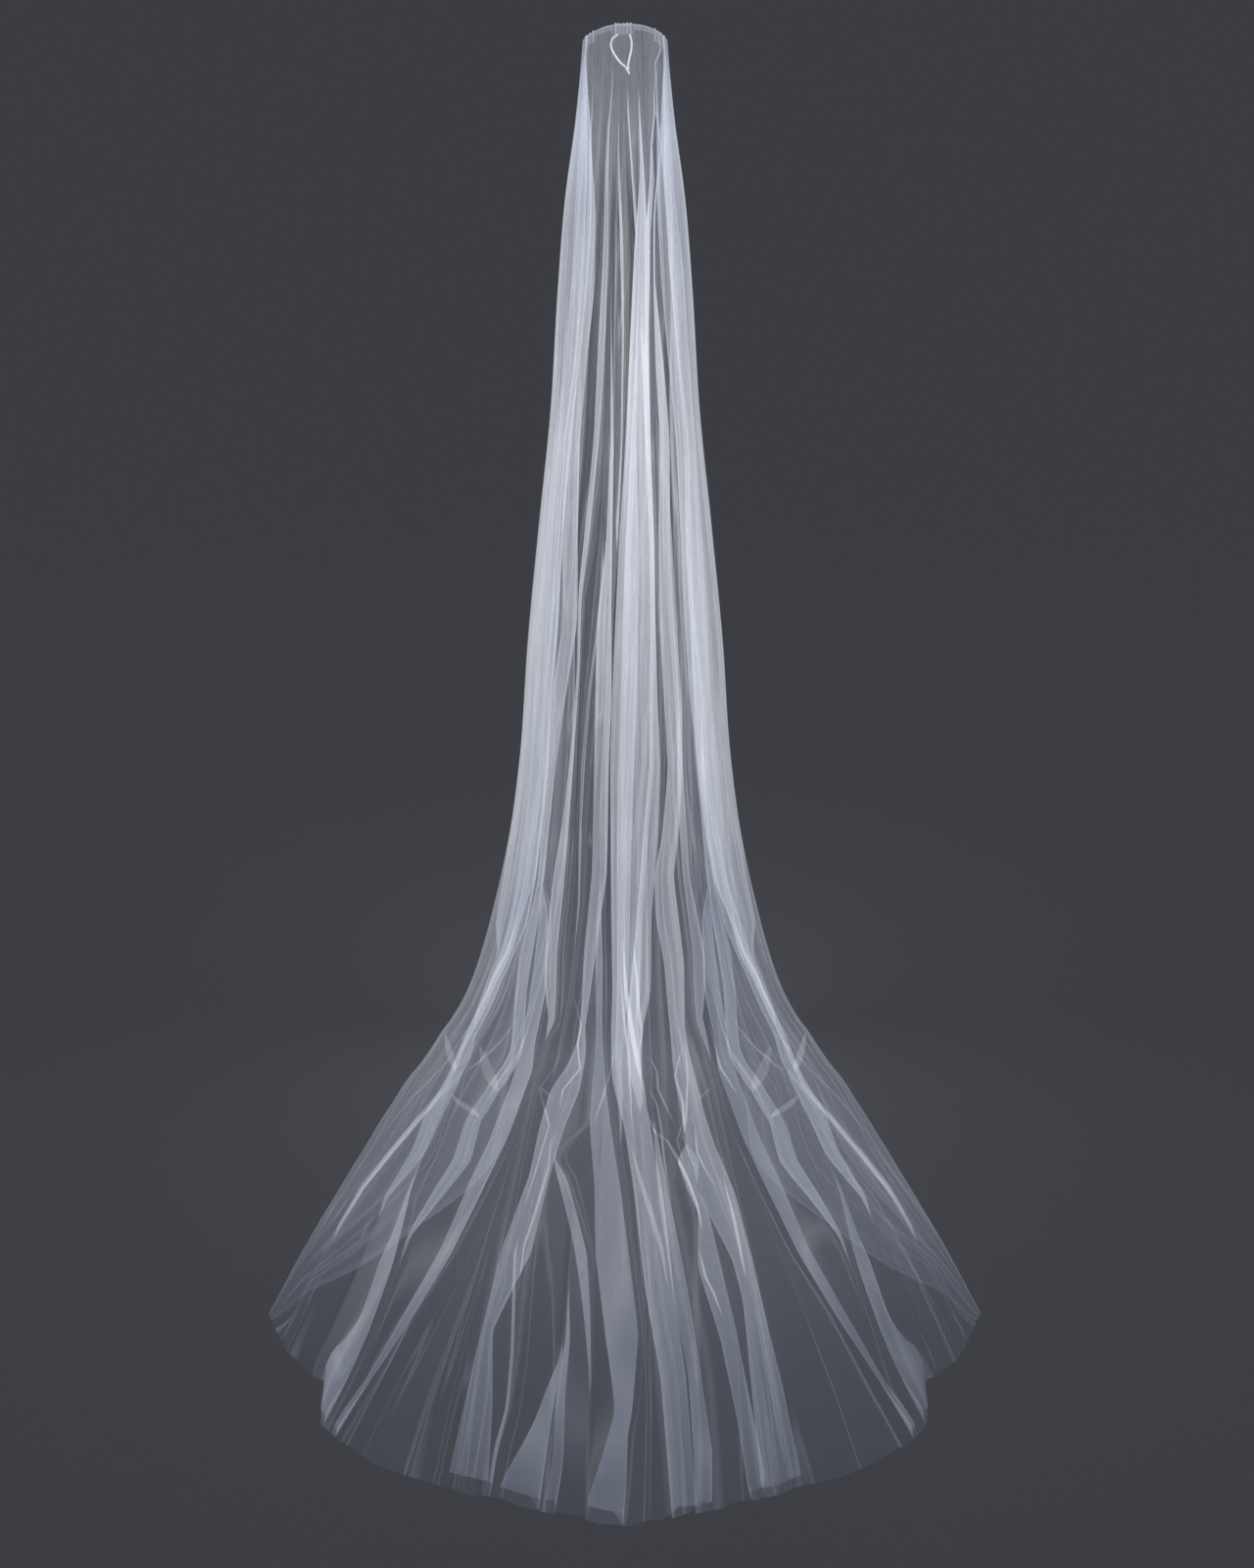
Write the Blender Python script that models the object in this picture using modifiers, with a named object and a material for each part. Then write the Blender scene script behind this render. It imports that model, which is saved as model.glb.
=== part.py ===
# Cathedral-length soft tulle veil, worn: it hangs from the crown and its train is spread on the floor.
# Frame: metres, +Z up, origin at the middle of the heading where the crown holds it,
# +X to the right seen from behind the wearer, -Y the way the train runs.
import math

import bmesh
import bpy
import numpy as np

# Overall sizes
CROWN_HEIGHT = 1.66          # heading above the floor
LEAN = math.radians(1.5)     # the hanging length leans towards the train
SWEEP_RADIUS = 0.22          # bend where the hanging length turns onto the floor
WALL = 0.0010                # cloth
SEAM_GAP = 0.0003            # between pieces that touch
HEADING_ARCH = 0.0245        # the heading's ends lie this much below its middle
ARCH_LENGTH = 0.20           # the arch dies out over this length
GRID_STEP = 0.0005           # fineness of the heights used while layers are laid
GRID_REACH = 0.52            # those heights cover this much to each side of the middle
LIFT_PASSES = 2              # times that a layer is raised off what it lies on
FOLD_SHARE = 0.25            # largest share of a layer's width that its fold takes
EDGE_REACH = 1.02            # points past the outer fold are shaped as at this share of the half width

# Sections across the cloth. run: distance down the middle from the heading.
# half_width: to the outer fold. wrap: how far the sides reach forward. pitch: layer to layer.
# fall: slope at which a layer comes down beside a lap. flap: side edge turned in.
# setback: how far the row's ends lie ahead of its middle on the floor.
# swell: height of the soft waves under all layers.
SECTION_COLUMNS = ("name", "run", "half_width", "wrap", "pitch", "fall", "flap", "setback", "swell")
SECTIONS = (
    ("heading", 0.000, 0.066, 0.027, 0.0028, 0.80, 0.008, 0.000, 0.0000),
    ("crown", 0.070, 0.072, 0.029, 0.0032, 0.80, 0.011, 0.000, 0.0010),
    ("nape", 0.150, 0.080, 0.032, 0.0038, 0.70, 0.016, 0.000, 0.0020),
    ("shoulder", 0.255, 0.095, 0.036, 0.0042, 0.60, 0.024, 0.000, 0.0035),
    ("blade", 0.410, 0.109, 0.041, 0.0046, 0.60, 0.036, 0.000, 0.0050),
    ("back", 0.600, 0.122, 0.048, 0.0050, 0.60, 0.050, 0.000, 0.0060),
    ("waist", 0.790, 0.143, 0.052, 0.0050, 0.60, 0.064, 0.000, 0.0065),
    ("hip", 0.990, 0.164, 0.055, 0.0050, 0.60, 0.080, 0.000, 0.0065),
    ("knee", 1.195, 0.180, 0.050, 0.0050, 0.60, 0.092, 0.000, 0.0060),
    ("calf", 1.335, 0.200, 0.040, 0.0048, 0.55, 0.100, 0.000, 0.0050),
    ("shin", 1.480, 0.234, 0.024, 0.0045, 0.50, 0.112, 0.000, 0.0035),
    ("ankle", 1.600, 0.274, 0.010, 0.0042, 0.40, 0.126, 0.000, 0.0015),
    ("break", 1.700, 0.322, 0.003, 0.0040, 0.35, 0.142, 0.000, 0.0000),
    ("floor", 1.785, 0.350, 0.000, 0.0038, 0.30, 0.160, 0.000, 0.0000),
    ("spread", 1.940, 0.3765, 0.000, 0.0037, 0.30, 0.182, 0.030, 0.0000),
    ("train", 2.108, 0.398, 0.000, 0.0036, 0.30, 0.200, 0.083, 0.0000),
    ("middle", 2.433, 0.434, 0.000, 0.0035, 0.30, 0.114, 0.205, 0.0000),
    ("corner", 2.758, 0.465, 0.000, 0.0035, 0.30, 0.035, 0.347, 0.0000),
    ("hem", 3.079, 0.487, 0.000, 0.0035, 0.30, 0.006, 0.505, 0.0000),
)
ROW_STEP = 0.165             # rows are added where two sections lie further apart
SWELL_WAVES = 1.6            # soft waves in each half of the width
SWELL_TURN = 0.9             # where the first one starts, in radians

# Laps across the cloth, left to right, at these sections. Places are fractions of the half width.
LAP_STATIONS = ("heading", "crown", "nape", "back", "hip", "shin", "floor", "train", "middle", "corner",
                "hem")
LAP_RUNS = [dict((row[0], row[1]) for row in SECTIONS)[station] for station in LAP_STATIONS]
LAP_PLACES = {
    "A": (-0.82, -0.83, -0.84, -0.83, -0.80, -0.70, -0.594, -0.640, -0.767, -0.774, -0.784),
    "B": (-0.67, -0.66, -0.64, -0.62, -0.58, -0.54, -0.470, -0.500, -0.617, -0.710, -0.738),
    "C": (-0.52, -0.50, -0.47, -0.44, -0.41, -0.36, -0.300, -0.330, -0.405, -0.424, -0.392),
    "D": (-0.37, -0.34, -0.32, -0.30, -0.28, -0.25, -0.215, -0.200, -0.207, -0.204, -0.267),
    "F": (-0.20, -0.18, -0.16, -0.16, -0.20, -0.15, -0.125, -0.080, -0.045, -0.020, -0.050),
    "G": (0.16, 0.15, 0.14, 0.15, 0.14, 0.11, 0.075, 0.085, 0.134, 0.155, 0.167),
    "H": (0.33, 0.32, 0.31, 0.31, 0.33, 0.24, 0.170, 0.200, 0.250, 0.273, 0.322),
    "I": (0.50, 0.49, 0.48, 0.47, 0.49, 0.38, 0.290, 0.330, 0.387, 0.410, 0.400),
    "J": (0.66, 0.66, 0.65, 0.64, 0.64, 0.55, 0.470, 0.500, 0.617, 0.710, 0.738),
    "K": (0.82, 0.83, 0.84, 0.83, 0.81, 0.70, 0.594, 0.640, 0.767, 0.774, 0.784),
}
# Widths of the laps in metres
LAP_WIDTHS = {
    "A": (0.0045, 0.006, 0.010, 0.034, 0.045, 0.034, 0.020, 0.014, 0.012, 0.016, 0.026),
    "B": (0.0045, 0.005, 0.006, 0.020, 0.030, 0.030, 0.024, 0.022, 0.022, 0.014, 0.010),
    "C": (0.0045, 0.005, 0.006, 0.018, 0.024, 0.026, 0.028, 0.030, 0.036, 0.042, 0.049),
    "D": (0.0045, 0.005, 0.005, 0.012, 0.018, 0.014, 0.008, 0.008, 0.008, 0.014, 0.045),
    "F": (0.0045, 0.005, 0.005, 0.016, 0.026, 0.030, 0.034, 0.034, 0.032, 0.040, 0.045),
    "G": (0.0045, 0.005, 0.008, 0.026, 0.056, 0.056, 0.044, 0.040, 0.040, 0.044, 0.049),
    "H": (0.0045, 0.005, 0.005, 0.012, 0.020, 0.024, 0.020, 0.016, 0.015, 0.018, 0.020),
    "I": (0.0045, 0.005, 0.006, 0.014, 0.020, 0.024, 0.026, 0.028, 0.030, 0.040, 0.048),
    "J": (0.0045, 0.005, 0.006, 0.020, 0.030, 0.030, 0.024, 0.022, 0.022, 0.014, 0.010),
    "K": (0.0045, 0.006, 0.010, 0.034, 0.045, 0.034, 0.020, 0.014, 0.012, 0.016, 0.026),
}
LEFT_LAPS = ("A", "B", "C", "D", "F")
RIGHT_LAPS = ("K", "J", "I", "H", "G")

# Hem rows bow back towards their ends as a straight part and a steep end part
BOW_STRAIGHT = 0.38
BOW_POWER = 6

# Heading pieces: left and right ends as X; a tuck's depth down the cloth and its gather waves
BAND_DEPTH = 0.0080
BAND_COLUMNS = 7
BANDS = {"heading_band_left": (-0.0465, -0.0185), "heading_band_right": (0.0130, 0.0435)}
TUCKS = {
    "heading_tuck_left": (-0.0640, -0.0475, 0.016, 3),
    "heading_tuck_centre": (-0.0175, 0.0120, 0.013, 6),
    "heading_tuck_right": (0.0445, 0.0640, 0.018, 4),
}
TUCK_HEIGHT = 0.0011         # half the height of a gather wave
TUCK_STEPS = 6               # points to a gather wave
TUCK_FLATTEN = 0.4           # share of that height lost at a tuck's lower edge

# Hanging loop of narrow satin ribbon; each strand's way as X and Z
RIBBON_WIDTH = 0.0030
LEFT_STRAND = ((-0.0110, -0.0141), (-0.0190, -0.0200), (-0.0220, -0.0300), (-0.0172, -0.0425),
               (-0.0070, -0.0560), (0.0010, -0.0624))
RIGHT_STRAND = ((0.0072, -0.0136), (0.0100, -0.0250), (0.0096, -0.0370), (0.0066, -0.0500), (0.0042, -0.0614))
STRAND_STEPS = 5             # points between two turns
STRAND_APART = 0.0008        # where they meet, each strand lies this far off the loop's middle depth
KNOT_PLACE = (0.0036, -0.0650)
KNOT_RADIUS = 0.0032
TAIL_START = 0.6             # the tail leaves the knot at this share of its radius
TAIL_LENGTH = 0.0070
TAIL_NARROW = 0.55           # the tail's width as a share of the knot's
LOOP_STAND = 0.0103          # the loop starts this much behind the crown
LOOP_TILT = 0.075            # and leans off the pleats below
KNOT_PROUD = 0.0006          # the knot's middle lies this far behind the loop's

MATERIALS = {
    "tulle": ((0.80, 0.84, 0.90), 0.75),
    "heading": ((0.86, 0.89, 0.94), 0.65),
    "satin": ((0.92, 0.92, 0.93), 0.35),
}


def smooth(at, runs, values):
    """Cubic through the stations, with slopes from the neighbours."""
    runs = np.asarray(runs, float)
    values = np.asarray(values, float)
    slopes = np.gradient(values, runs)
    i = int(np.clip(np.searchsorted(runs, at) - 1, 0, len(runs) - 2))
    step = runs[i + 1] - runs[i]
    t = (at - runs[i]) / step
    start = (1 + 2 * t) * (1 - t) ** 2 * values[i] + t * (1 - t) ** 2 * slopes[i] * step
    end = t * t * (3 - 2 * t) * values[i + 1] + t * t * (t - 1) * slopes[i + 1] * step
    return float(start + end)


def section(run):
    """The named sizes of the cloth at one run."""
    runs = [row[1] for row in SECTIONS]
    return {
        name: smooth(run, runs, [row[k] for row in SECTIONS])
        for k, name in enumerate(SECTION_COLUMNS)
        if k > 1
    }


def centre_line(run):
    """Point (y, z) of the middle line and its outward direction."""
    floor = WALL / 2 + SEAM_GAP - CROWN_HEIGHT
    straight = (-floor - SWEEP_RADIUS * (1 - math.sin(LEAN))) / math.cos(LEAN)
    y1 = -straight * math.sin(LEAN)
    z1 = -straight * math.cos(LEAN)
    sweep = SWEEP_RADIUS * (math.pi / 2 - LEAN)
    if run <= straight:
        angle = LEAN
        y = -run * math.sin(LEAN)
        z = -run * math.cos(LEAN)
    elif run <= straight + sweep:
        angle = LEAN + (run - straight) / SWEEP_RADIUS
        y = y1 - SWEEP_RADIUS * (math.cos(LEAN) - math.cos(angle))
        z = z1 - SWEEP_RADIUS * (math.sin(angle) - math.sin(LEAN))
    else:
        angle = math.pi / 2
        y = y1 - SWEEP_RADIUS * math.cos(LEAN) - (run - straight - sweep)
        z = floor
    return y, z, -math.cos(angle), math.sin(angle)


def place(run, x, height):
    """World point of the cloth at a run, an X and a height over the lowest layer."""
    here = section(run)
    across = min(abs(x) / here["half_width"], EDGE_REACH)
    y, z, out_y, out_z = centre_line(run)
    rise = height - here["wrap"] * across ** 2
    bow = BOW_STRAIGHT * across + (1 - BOW_STRAIGHT) * across ** BOW_POWER
    y += here["setback"] * bow
    z -= HEADING_ARCH * max(0.0, 1 - run / ARCH_LENGTH) * across ** 4
    return (x, y + rise * out_y, z + rise * out_z)


def lap_folds(run, name):
    """Left and right fold of one lap, as X."""
    middle = smooth(run, LAP_RUNS, LAP_PLACES[name]) * section(run)["half_width"]
    reach = smooth(run, LAP_RUNS, LAP_WIDTHS[name]) / 2
    return middle - reach, middle + reach


def middle_place(run):
    """Where the two halves meet: midway between the innermost laps."""
    return (lap_folds(run, LEFT_LAPS[-1])[1] + lap_folds(run, RIGHT_LAPS[-1])[0]) / 2


def lap_edges(run, names, side):
    """Turns of one half in the order that the cloth takes them, from its side edge inwards.
    The right half is mirrored, so that both run towards +X."""
    here = section(run)
    edges = [here["flap"] - here["half_width"], -here["half_width"]]
    for name in names:
        left, right = lap_folds(run, name)
        edges += [right, left] if side > 0 else [-left, -right]
    return edges + [side * middle_place(run)]


def lay_half(run, names, side):
    """Columns (x, height) from the side edge to the middle, each layer laid on those before it."""
    here = section(run)
    pitch = here["pitch"]
    edges = lap_edges(run, names, side)
    grid = np.arange(-GRID_REACH, GRID_REACH, GRID_STEP)
    wave = 2 * math.pi * SWELL_WAVES * side * grid / here["half_width"] + SWELL_TURN
    top = here["swell"] * (1 + np.sin(wave)) - pitch
    columns = []
    for k in range(len(edges) - 1):
        stops = layer_stops(edges, k, pitch, here["fall"])
        heights = rest_on(top, grid, stops, pitch, here["fall"])
        fold_height = (columns[-1][1] + heights[0]) / 2 if columns else heights[0]
        columns.append((edges[k], fold_height))
        columns += list(zip(stops[1:-1], heights[1:-1]))
        low = min(edges[k], edges[k + 1])
        high = max(edges[k], edges[k + 1])
        covered = (grid >= low - GRID_STEP) & (grid <= high + GRID_STEP)
        order = 1 if stops[-1] > stops[0] else -1
        laid = np.interp(grid, stops[::order], heights[::order])
        top = np.where(covered, np.maximum(top, laid), top)
    return columns


def layer_stops(edges, k, pitch, fall):
    """Where one layer has points: at its folds, and where it clears and comes down beside a lap below it."""
    start = edges[k]
    end = edges[k + 1]
    ease = min(pitch / 2, abs(end - start) * FOLD_SHARE)
    low = min(start, end) + ease
    high = max(start, end) - ease
    if k > 1 and end > start:
        inner = [edges[k - 1] + pitch / 2, edges[k - 1] + 2 * pitch / fall]
    else:
        inner = [edges[max(k - 2, 0)] + pitch / 2]
    apart = min(ease / 2, (high - low) / (len(inner) + 1))
    for i, x in enumerate(inner):
        inner[i] = min(max(x, low + apart * (i + 1)), high - apart * (len(inner) - i))
    stops = [min(start, end), low, *inner, high, max(start, end)]
    return stops if end > start else stops[::-1]


def rest_on(top, grid, stops, pitch, fall):
    """Heights of a layer at its stops, so that it clears all below it and comes down no steeper than fall."""
    ahead = np.maximum.accumulate(top + fall * grid) - fall * grid
    behind = np.maximum.accumulate((top - fall * grid)[::-1])[::-1] + fall * grid
    heights = np.interp(stops, grid, np.maximum(ahead, behind) + pitch)
    for _ in range(LIFT_PASSES):
        for i in range(len(stops) - 1):
            low = min(stops[i], stops[i + 1])
            high = max(stops[i], stops[i + 1])
            between = (grid >= low) & (grid <= high)
            if not between.any():
                continue
            along = (grid[between] - stops[i]) / (stops[i + 1] - stops[i])
            laid = heights[i] + (heights[i + 1] - heights[i]) * along
            lift = max(0.0, float(np.max(top[between] + pitch - laid)))
            heights[i] += lift
            heights[i + 1] += lift
        reach = np.abs(np.subtract.outer(stops, stops)) * fall
        heights = np.max(heights[None, :] - reach, axis=1)
    return heights


def cloth_row(run):
    """One row of the cloth from its left edge to its right edge, as (x, height)."""
    left = lay_half(run, LEFT_LAPS, 1)
    right = [(-x, height) for x, height in lay_half(run, RIGHT_LAPS, -1)]
    middle = (middle_place(run), (left[-1][1] + right[-1][1]) / 2)
    return left + [middle] + right[::-1]


def row_runs():
    """Runs of the rows: every section, and rows between sections that lie far apart."""
    runs = [SECTIONS[0][1]]
    for row in SECTIONS[1:]:
        parts = math.ceil((row[1] - runs[-1]) / ROW_STEP)
        start = runs[-1]
        runs += [start + (row[1] - start) * (i + 1) / parts for i in range(parts)]
    return runs


def make_material(name):
    colour, roughness = MATERIALS[name]
    material = bpy.data.materials.new(name)
    material.use_nodes = True
    shader = material.node_tree.nodes["Principled BSDF"]
    shader.inputs["Base Color"].default_value = (*colour, 1.0)
    shader.inputs["Roughness"].default_value = roughness
    shader.inputs["Metallic"].default_value = 0.0
    return material


def add_object(name, data, material, collection):
    piece = bpy.data.objects.new(name, data)
    piece.data.materials.append(material)
    collection.objects.link(piece)
    return piece


def sheet_mesh(name, rows):
    """Open surface through rows of world points, its faces looking away from the wearer."""
    mesh = bmesh.new()
    grid = [[mesh.verts.new(point) for point in row] for row in rows]
    for upper, lower in zip(grid, grid[1:]):
        for k in range(len(upper) - 1):
            mesh.faces.new((upper[k], lower[k], lower[k + 1], upper[k + 1]))
    data = bpy.data.meshes.new(name)
    mesh.to_mesh(data)
    mesh.free()
    data.shade_smooth()
    return data


def add_cloth(name, rows, material, collection):
    piece = add_object(name, sheet_mesh(name, rows), material, collection)
    wall = piece.modifiers.new("wall", "SOLIDIFY")
    wall.thickness = WALL
    wall.offset = 0.0
    wall.use_even_offset = True
    return piece


def add_panel(material, collection):
    rows = []
    for run in row_runs():
        rows.append([place(run, x, height) for x, height in cloth_row(run)])
    return add_cloth("veil_panel", rows, material, collection)


def pleat_top(run, start, end):
    """Height of the panel's tallest pleat between two places of the heading."""
    near = [height for x, height in cloth_row(0.0) if start - SEAM_GAP <= x <= end + SEAM_GAP]
    below = [height for x, height in cloth_row(SECTIONS[1][1]) if start - SEAM_GAP <= x <= end + SEAM_GAP]
    part = run / SECTIONS[1][1]
    return max(near) * (1 - part) + max(below) * part


def add_bands(material, collection):
    """Doubled stretches of the heading, on the panel's outer face."""
    for name, (start, end) in BANDS.items():
        rows = []
        for run in (0.0, BAND_DEPTH / 2, BAND_DEPTH):
            stand = pleat_top(run, start, end) + WALL + 2 * SEAM_GAP
            rows.append([place(run, x, stand) for x in np.linspace(start, end, BAND_COLUMNS)])
        add_cloth(name, rows, material, collection)


def add_tucks(material, collection):
    """Gathered stretches of the heading: waves that flatten downwards."""
    for name, (start, end, depth, waves) in TUCKS.items():
        rows = []
        for part in (0.0, 0.5, 1.0):
            row = []
            stand = pleat_top(depth * part, start, end) + WALL + 2 * SEAM_GAP
            for k in range(waves * TUCK_STEPS + 1):
                across = k / (waves * TUCK_STEPS)
                wave = TUCK_HEIGHT * (1 - TUCK_FLATTEN * part) * (1 - math.cos(2 * math.pi * waves * across))
                row.append(place(depth * part, start + (end - start) * across, stand + wave))
            rows.append(row)
        add_cloth(name, rows, material, collection)


def ribbon_way(turns, apart):
    """Smooth way through a strand's turning points, as world points."""
    places = np.linspace(0, 1, len(turns))
    steps = (len(turns) - 1) * STRAND_STEPS
    way = []
    for k in range(steps + 1):
        x = smooth(k / steps, places, [turn[0] for turn in turns])
        z = smooth(k / steps, places, [turn[1] for turn in turns])
        way.append((x, loop_depth(z) + apart * k / steps, z))
    return way


def loop_depth(z):
    """Y of the hanging loop at a height."""
    return -LOOP_STAND - LOOP_TILT * (LEFT_STRAND[0][1] - z)


def add_strand(name, turns, apart, material, collection):
    way = ribbon_way(turns, apart)
    data = bpy.data.curves.new(name, "CURVE")
    data.dimensions = "3D"
    data.bevel_depth = RIBBON_WIDTH / 2
    data.bevel_resolution = 2
    data.use_fill_caps = True
    line = data.splines.new("POLY")
    line.points.add(len(way) - 1)
    for point, at in zip(line.points, way):
        point.co = (*at, 1.0)
    return add_object(name, data, material, collection)


def add_knot(material, collection):
    """Overhand knot drawn tight, with its short tail."""
    mesh = bmesh.new()
    bmesh.ops.create_uvsphere(mesh, u_segments=12, v_segments=8, radius=KNOT_RADIUS)
    for vert in mesh.verts:
        if vert.co.z < -KNOT_RADIUS * TAIL_START:
            vert.co.z -= TAIL_LENGTH
            vert.co.x *= TAIL_NARROW
            vert.co.y *= TAIL_NARROW
    data = bpy.data.meshes.new("loop_knot")
    mesh.to_mesh(data)
    mesh.free()
    data.shade_smooth()
    piece = add_object("loop_knot", data, material, collection)
    piece.location = (KNOT_PLACE[0], loop_depth(KNOT_PLACE[1]) - KNOT_PROUD, KNOT_PLACE[1])
    return piece


def main():
    for item in list(bpy.data.objects):
        bpy.data.objects.remove(item, do_unlink=True)
    collection = bpy.data.collections.new("veil")
    bpy.context.scene.collection.children.link(collection)
    tulle = make_material("tulle")
    heading = make_material("heading")
    satin = make_material("satin")
    add_panel(tulle, collection)
    add_bands(heading, collection)
    add_tucks(heading, collection)
    add_strand("loop_strand_left", LEFT_STRAND, -STRAND_APART, satin, collection)
    add_strand("loop_strand_right", RIGHT_STRAND, STRAND_APART, satin, collection)
    add_knot(satin, collection)


main()
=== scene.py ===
# Looks of the worn tulle veil: laid cloth, gathered heading, ribbon loop.
# Metres, +Z up, origin at the middle of the heading, +X to the right seen from behind, -Y along the train.
import math
from collections import namedtuple

import bpy
import numpy as np
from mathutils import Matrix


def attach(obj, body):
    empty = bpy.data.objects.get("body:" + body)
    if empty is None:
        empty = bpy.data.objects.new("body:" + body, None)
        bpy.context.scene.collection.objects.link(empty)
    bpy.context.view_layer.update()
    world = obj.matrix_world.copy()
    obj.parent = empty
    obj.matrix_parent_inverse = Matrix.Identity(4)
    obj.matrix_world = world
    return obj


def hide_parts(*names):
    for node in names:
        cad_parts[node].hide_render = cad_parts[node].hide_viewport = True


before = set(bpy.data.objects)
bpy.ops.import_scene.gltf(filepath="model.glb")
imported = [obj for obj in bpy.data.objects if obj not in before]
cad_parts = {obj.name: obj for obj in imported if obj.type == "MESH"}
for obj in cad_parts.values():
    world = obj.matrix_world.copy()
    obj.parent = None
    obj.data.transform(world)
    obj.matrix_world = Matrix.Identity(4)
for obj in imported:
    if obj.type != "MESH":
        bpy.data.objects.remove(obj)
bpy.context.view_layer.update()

view = {"place": (0.003, -4.2, 0.14), "pitch": 18.18, "lens": 59.555, "sensor": 36.0,
        "layersSeen": 64}

ribbon = {
    "width": 0.0030,
    "thickness": 0.00025,
    "leftTurns": ((-0.0110, -0.0141), (-0.0190, -0.0200), (-0.0220, -0.0300), (-0.0172, -0.0425),
                  (-0.0070, -0.0560), (0.0010, -0.0624)),      # x and z, as in the CAD
    "rightTurns": ((0.0072, -0.0136), (0.0100, -0.0250), (0.0096, -0.0370), (0.0066, -0.0500),
                   (0.0042, -0.0614)),
    "stepsEach": 8,
    "stand": 0.0103,          # behind the crown
    "rise": 0.0030,           # drawn up a little with the heading
    "tilt": 0.075,            # leans off the pleats below
    "apart": 0.0008,
    "roll": 0.00022,          # how much the ribbon's middle stands proud of its edges
    "shares": (-1.0, -0.8, 0.0, 0.8, 1.0),     # points across, as shares of half its width
    "turn": 0.35,             # radians
    "turnWave": (3.0, 0.4),   # how the turn runs down the ribbon
    "knotPlace": (0.0036, -0.0650),
    "knotRadius": 0.0027,
    "knotBand": 0.0009,       # half the ribbon's width where it is drawn tight
    "knotThick": 0.0006,
    "knotProud": 0.0006,
    "knotStretch": (0.9, 1.15),
    "knotSteps": 60,
    "knotSides": 8,
    "tailLength": 0.0072,
    "tailWidth": 0.0026,
    "tailTurn": 0.2,
    "tailStart": 0.0012,
    "tailSteps": 8,
    "tailDrift": (0.0004, -0.0001),     # to the side and backwards, each step
}

# Sections of the cloth. run: down the middle from the heading. half: to the outer fold. wrap: how far the
# sides reach forward. pitch: layer to layer. fall: slope beside a lap. flap: side edge turned in.
# setback: how far a row's ends lie ahead of its middle. swell: height of the soft waves below all layers.
# veil: how much one layer covers. lap: multiplies the dense of every lap, below.
sectionColumns = ("run", "half", "wrap", "pitch", "fall", "flap", "setback", "swell", "veil", "lap")
sections = (
    (0.000, 0.066, 0.027, 0.0020, 0.80, 0.008, 0.000, 0.0000, 0.235, 1.00),
    (0.070, 0.072, 0.029, 0.0022, 0.80, 0.011, 0.000, 0.0010, 0.245, 1.00),
    (0.150, 0.080, 0.032, 0.0026, 0.70, 0.016, 0.000, 0.0020, 0.265, 1.00),
    (0.255, 0.095, 0.036, 0.0028, 0.60, 0.024, 0.000, 0.0035, 0.181, 1.00),
    (0.410, 0.109, 0.041, 0.0030, 0.60, 0.036, 0.000, 0.0050, 0.172, 1.00),
    (0.600, 0.122, 0.048, 0.0032, 0.60, 0.050, 0.000, 0.0060, 0.164, 1.00),
    (0.790, 0.143, 0.052, 0.0032, 0.60, 0.064, 0.000, 0.0065, 0.150, 1.00),
    (0.990, 0.164, 0.055, 0.0032, 0.60, 0.080, 0.000, 0.0065, 0.137, 1.00),
    (1.195, 0.180, 0.050, 0.0032, 0.60, 0.092, 0.000, 0.0060, 0.123, 1.00),
    (1.335, 0.200, 0.040, 0.0030, 0.55, 0.100, 0.000, 0.0050, 0.112, 1.00),
    (1.480, 0.234, 0.024, 0.0028, 0.50, 0.112, 0.000, 0.0035, 0.098, 1.00),
    (1.600, 0.274, 0.010, 0.0024, 0.40, 0.126, 0.000, 0.0015, 0.090, 1.05),
    (1.700, 0.322, 0.003, 0.0020, 0.35, 0.142, 0.000, 0.0000, 0.090, 1.12),
    (1.785, 0.350, 0.000, 0.0017, 0.30, 0.160, 0.000, 0.0000, 0.091, 1.20),
    (1.940, 0.3765, 0.00, 0.0015, 0.30, 0.182, 0.030, 0.0000, 0.086, 1.30),
    (2.108, 0.398, 0.000, 0.0014, 0.30, 0.200, 0.083, 0.0000, 0.082, 1.40),
    (2.433, 0.434, 0.000, 0.0013, 0.30, 0.114, 0.205, 0.0000, 0.075, 1.38),
    (2.758, 0.465, 0.000, 0.0012, 0.30, 0.035, 0.347, 0.0000, 0.043, 1.55),
    (3.079, 0.487, 0.000, 0.0012, 0.30, 0.006, 0.505, 0.0000, 0.023, 1.60),
)

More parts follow.
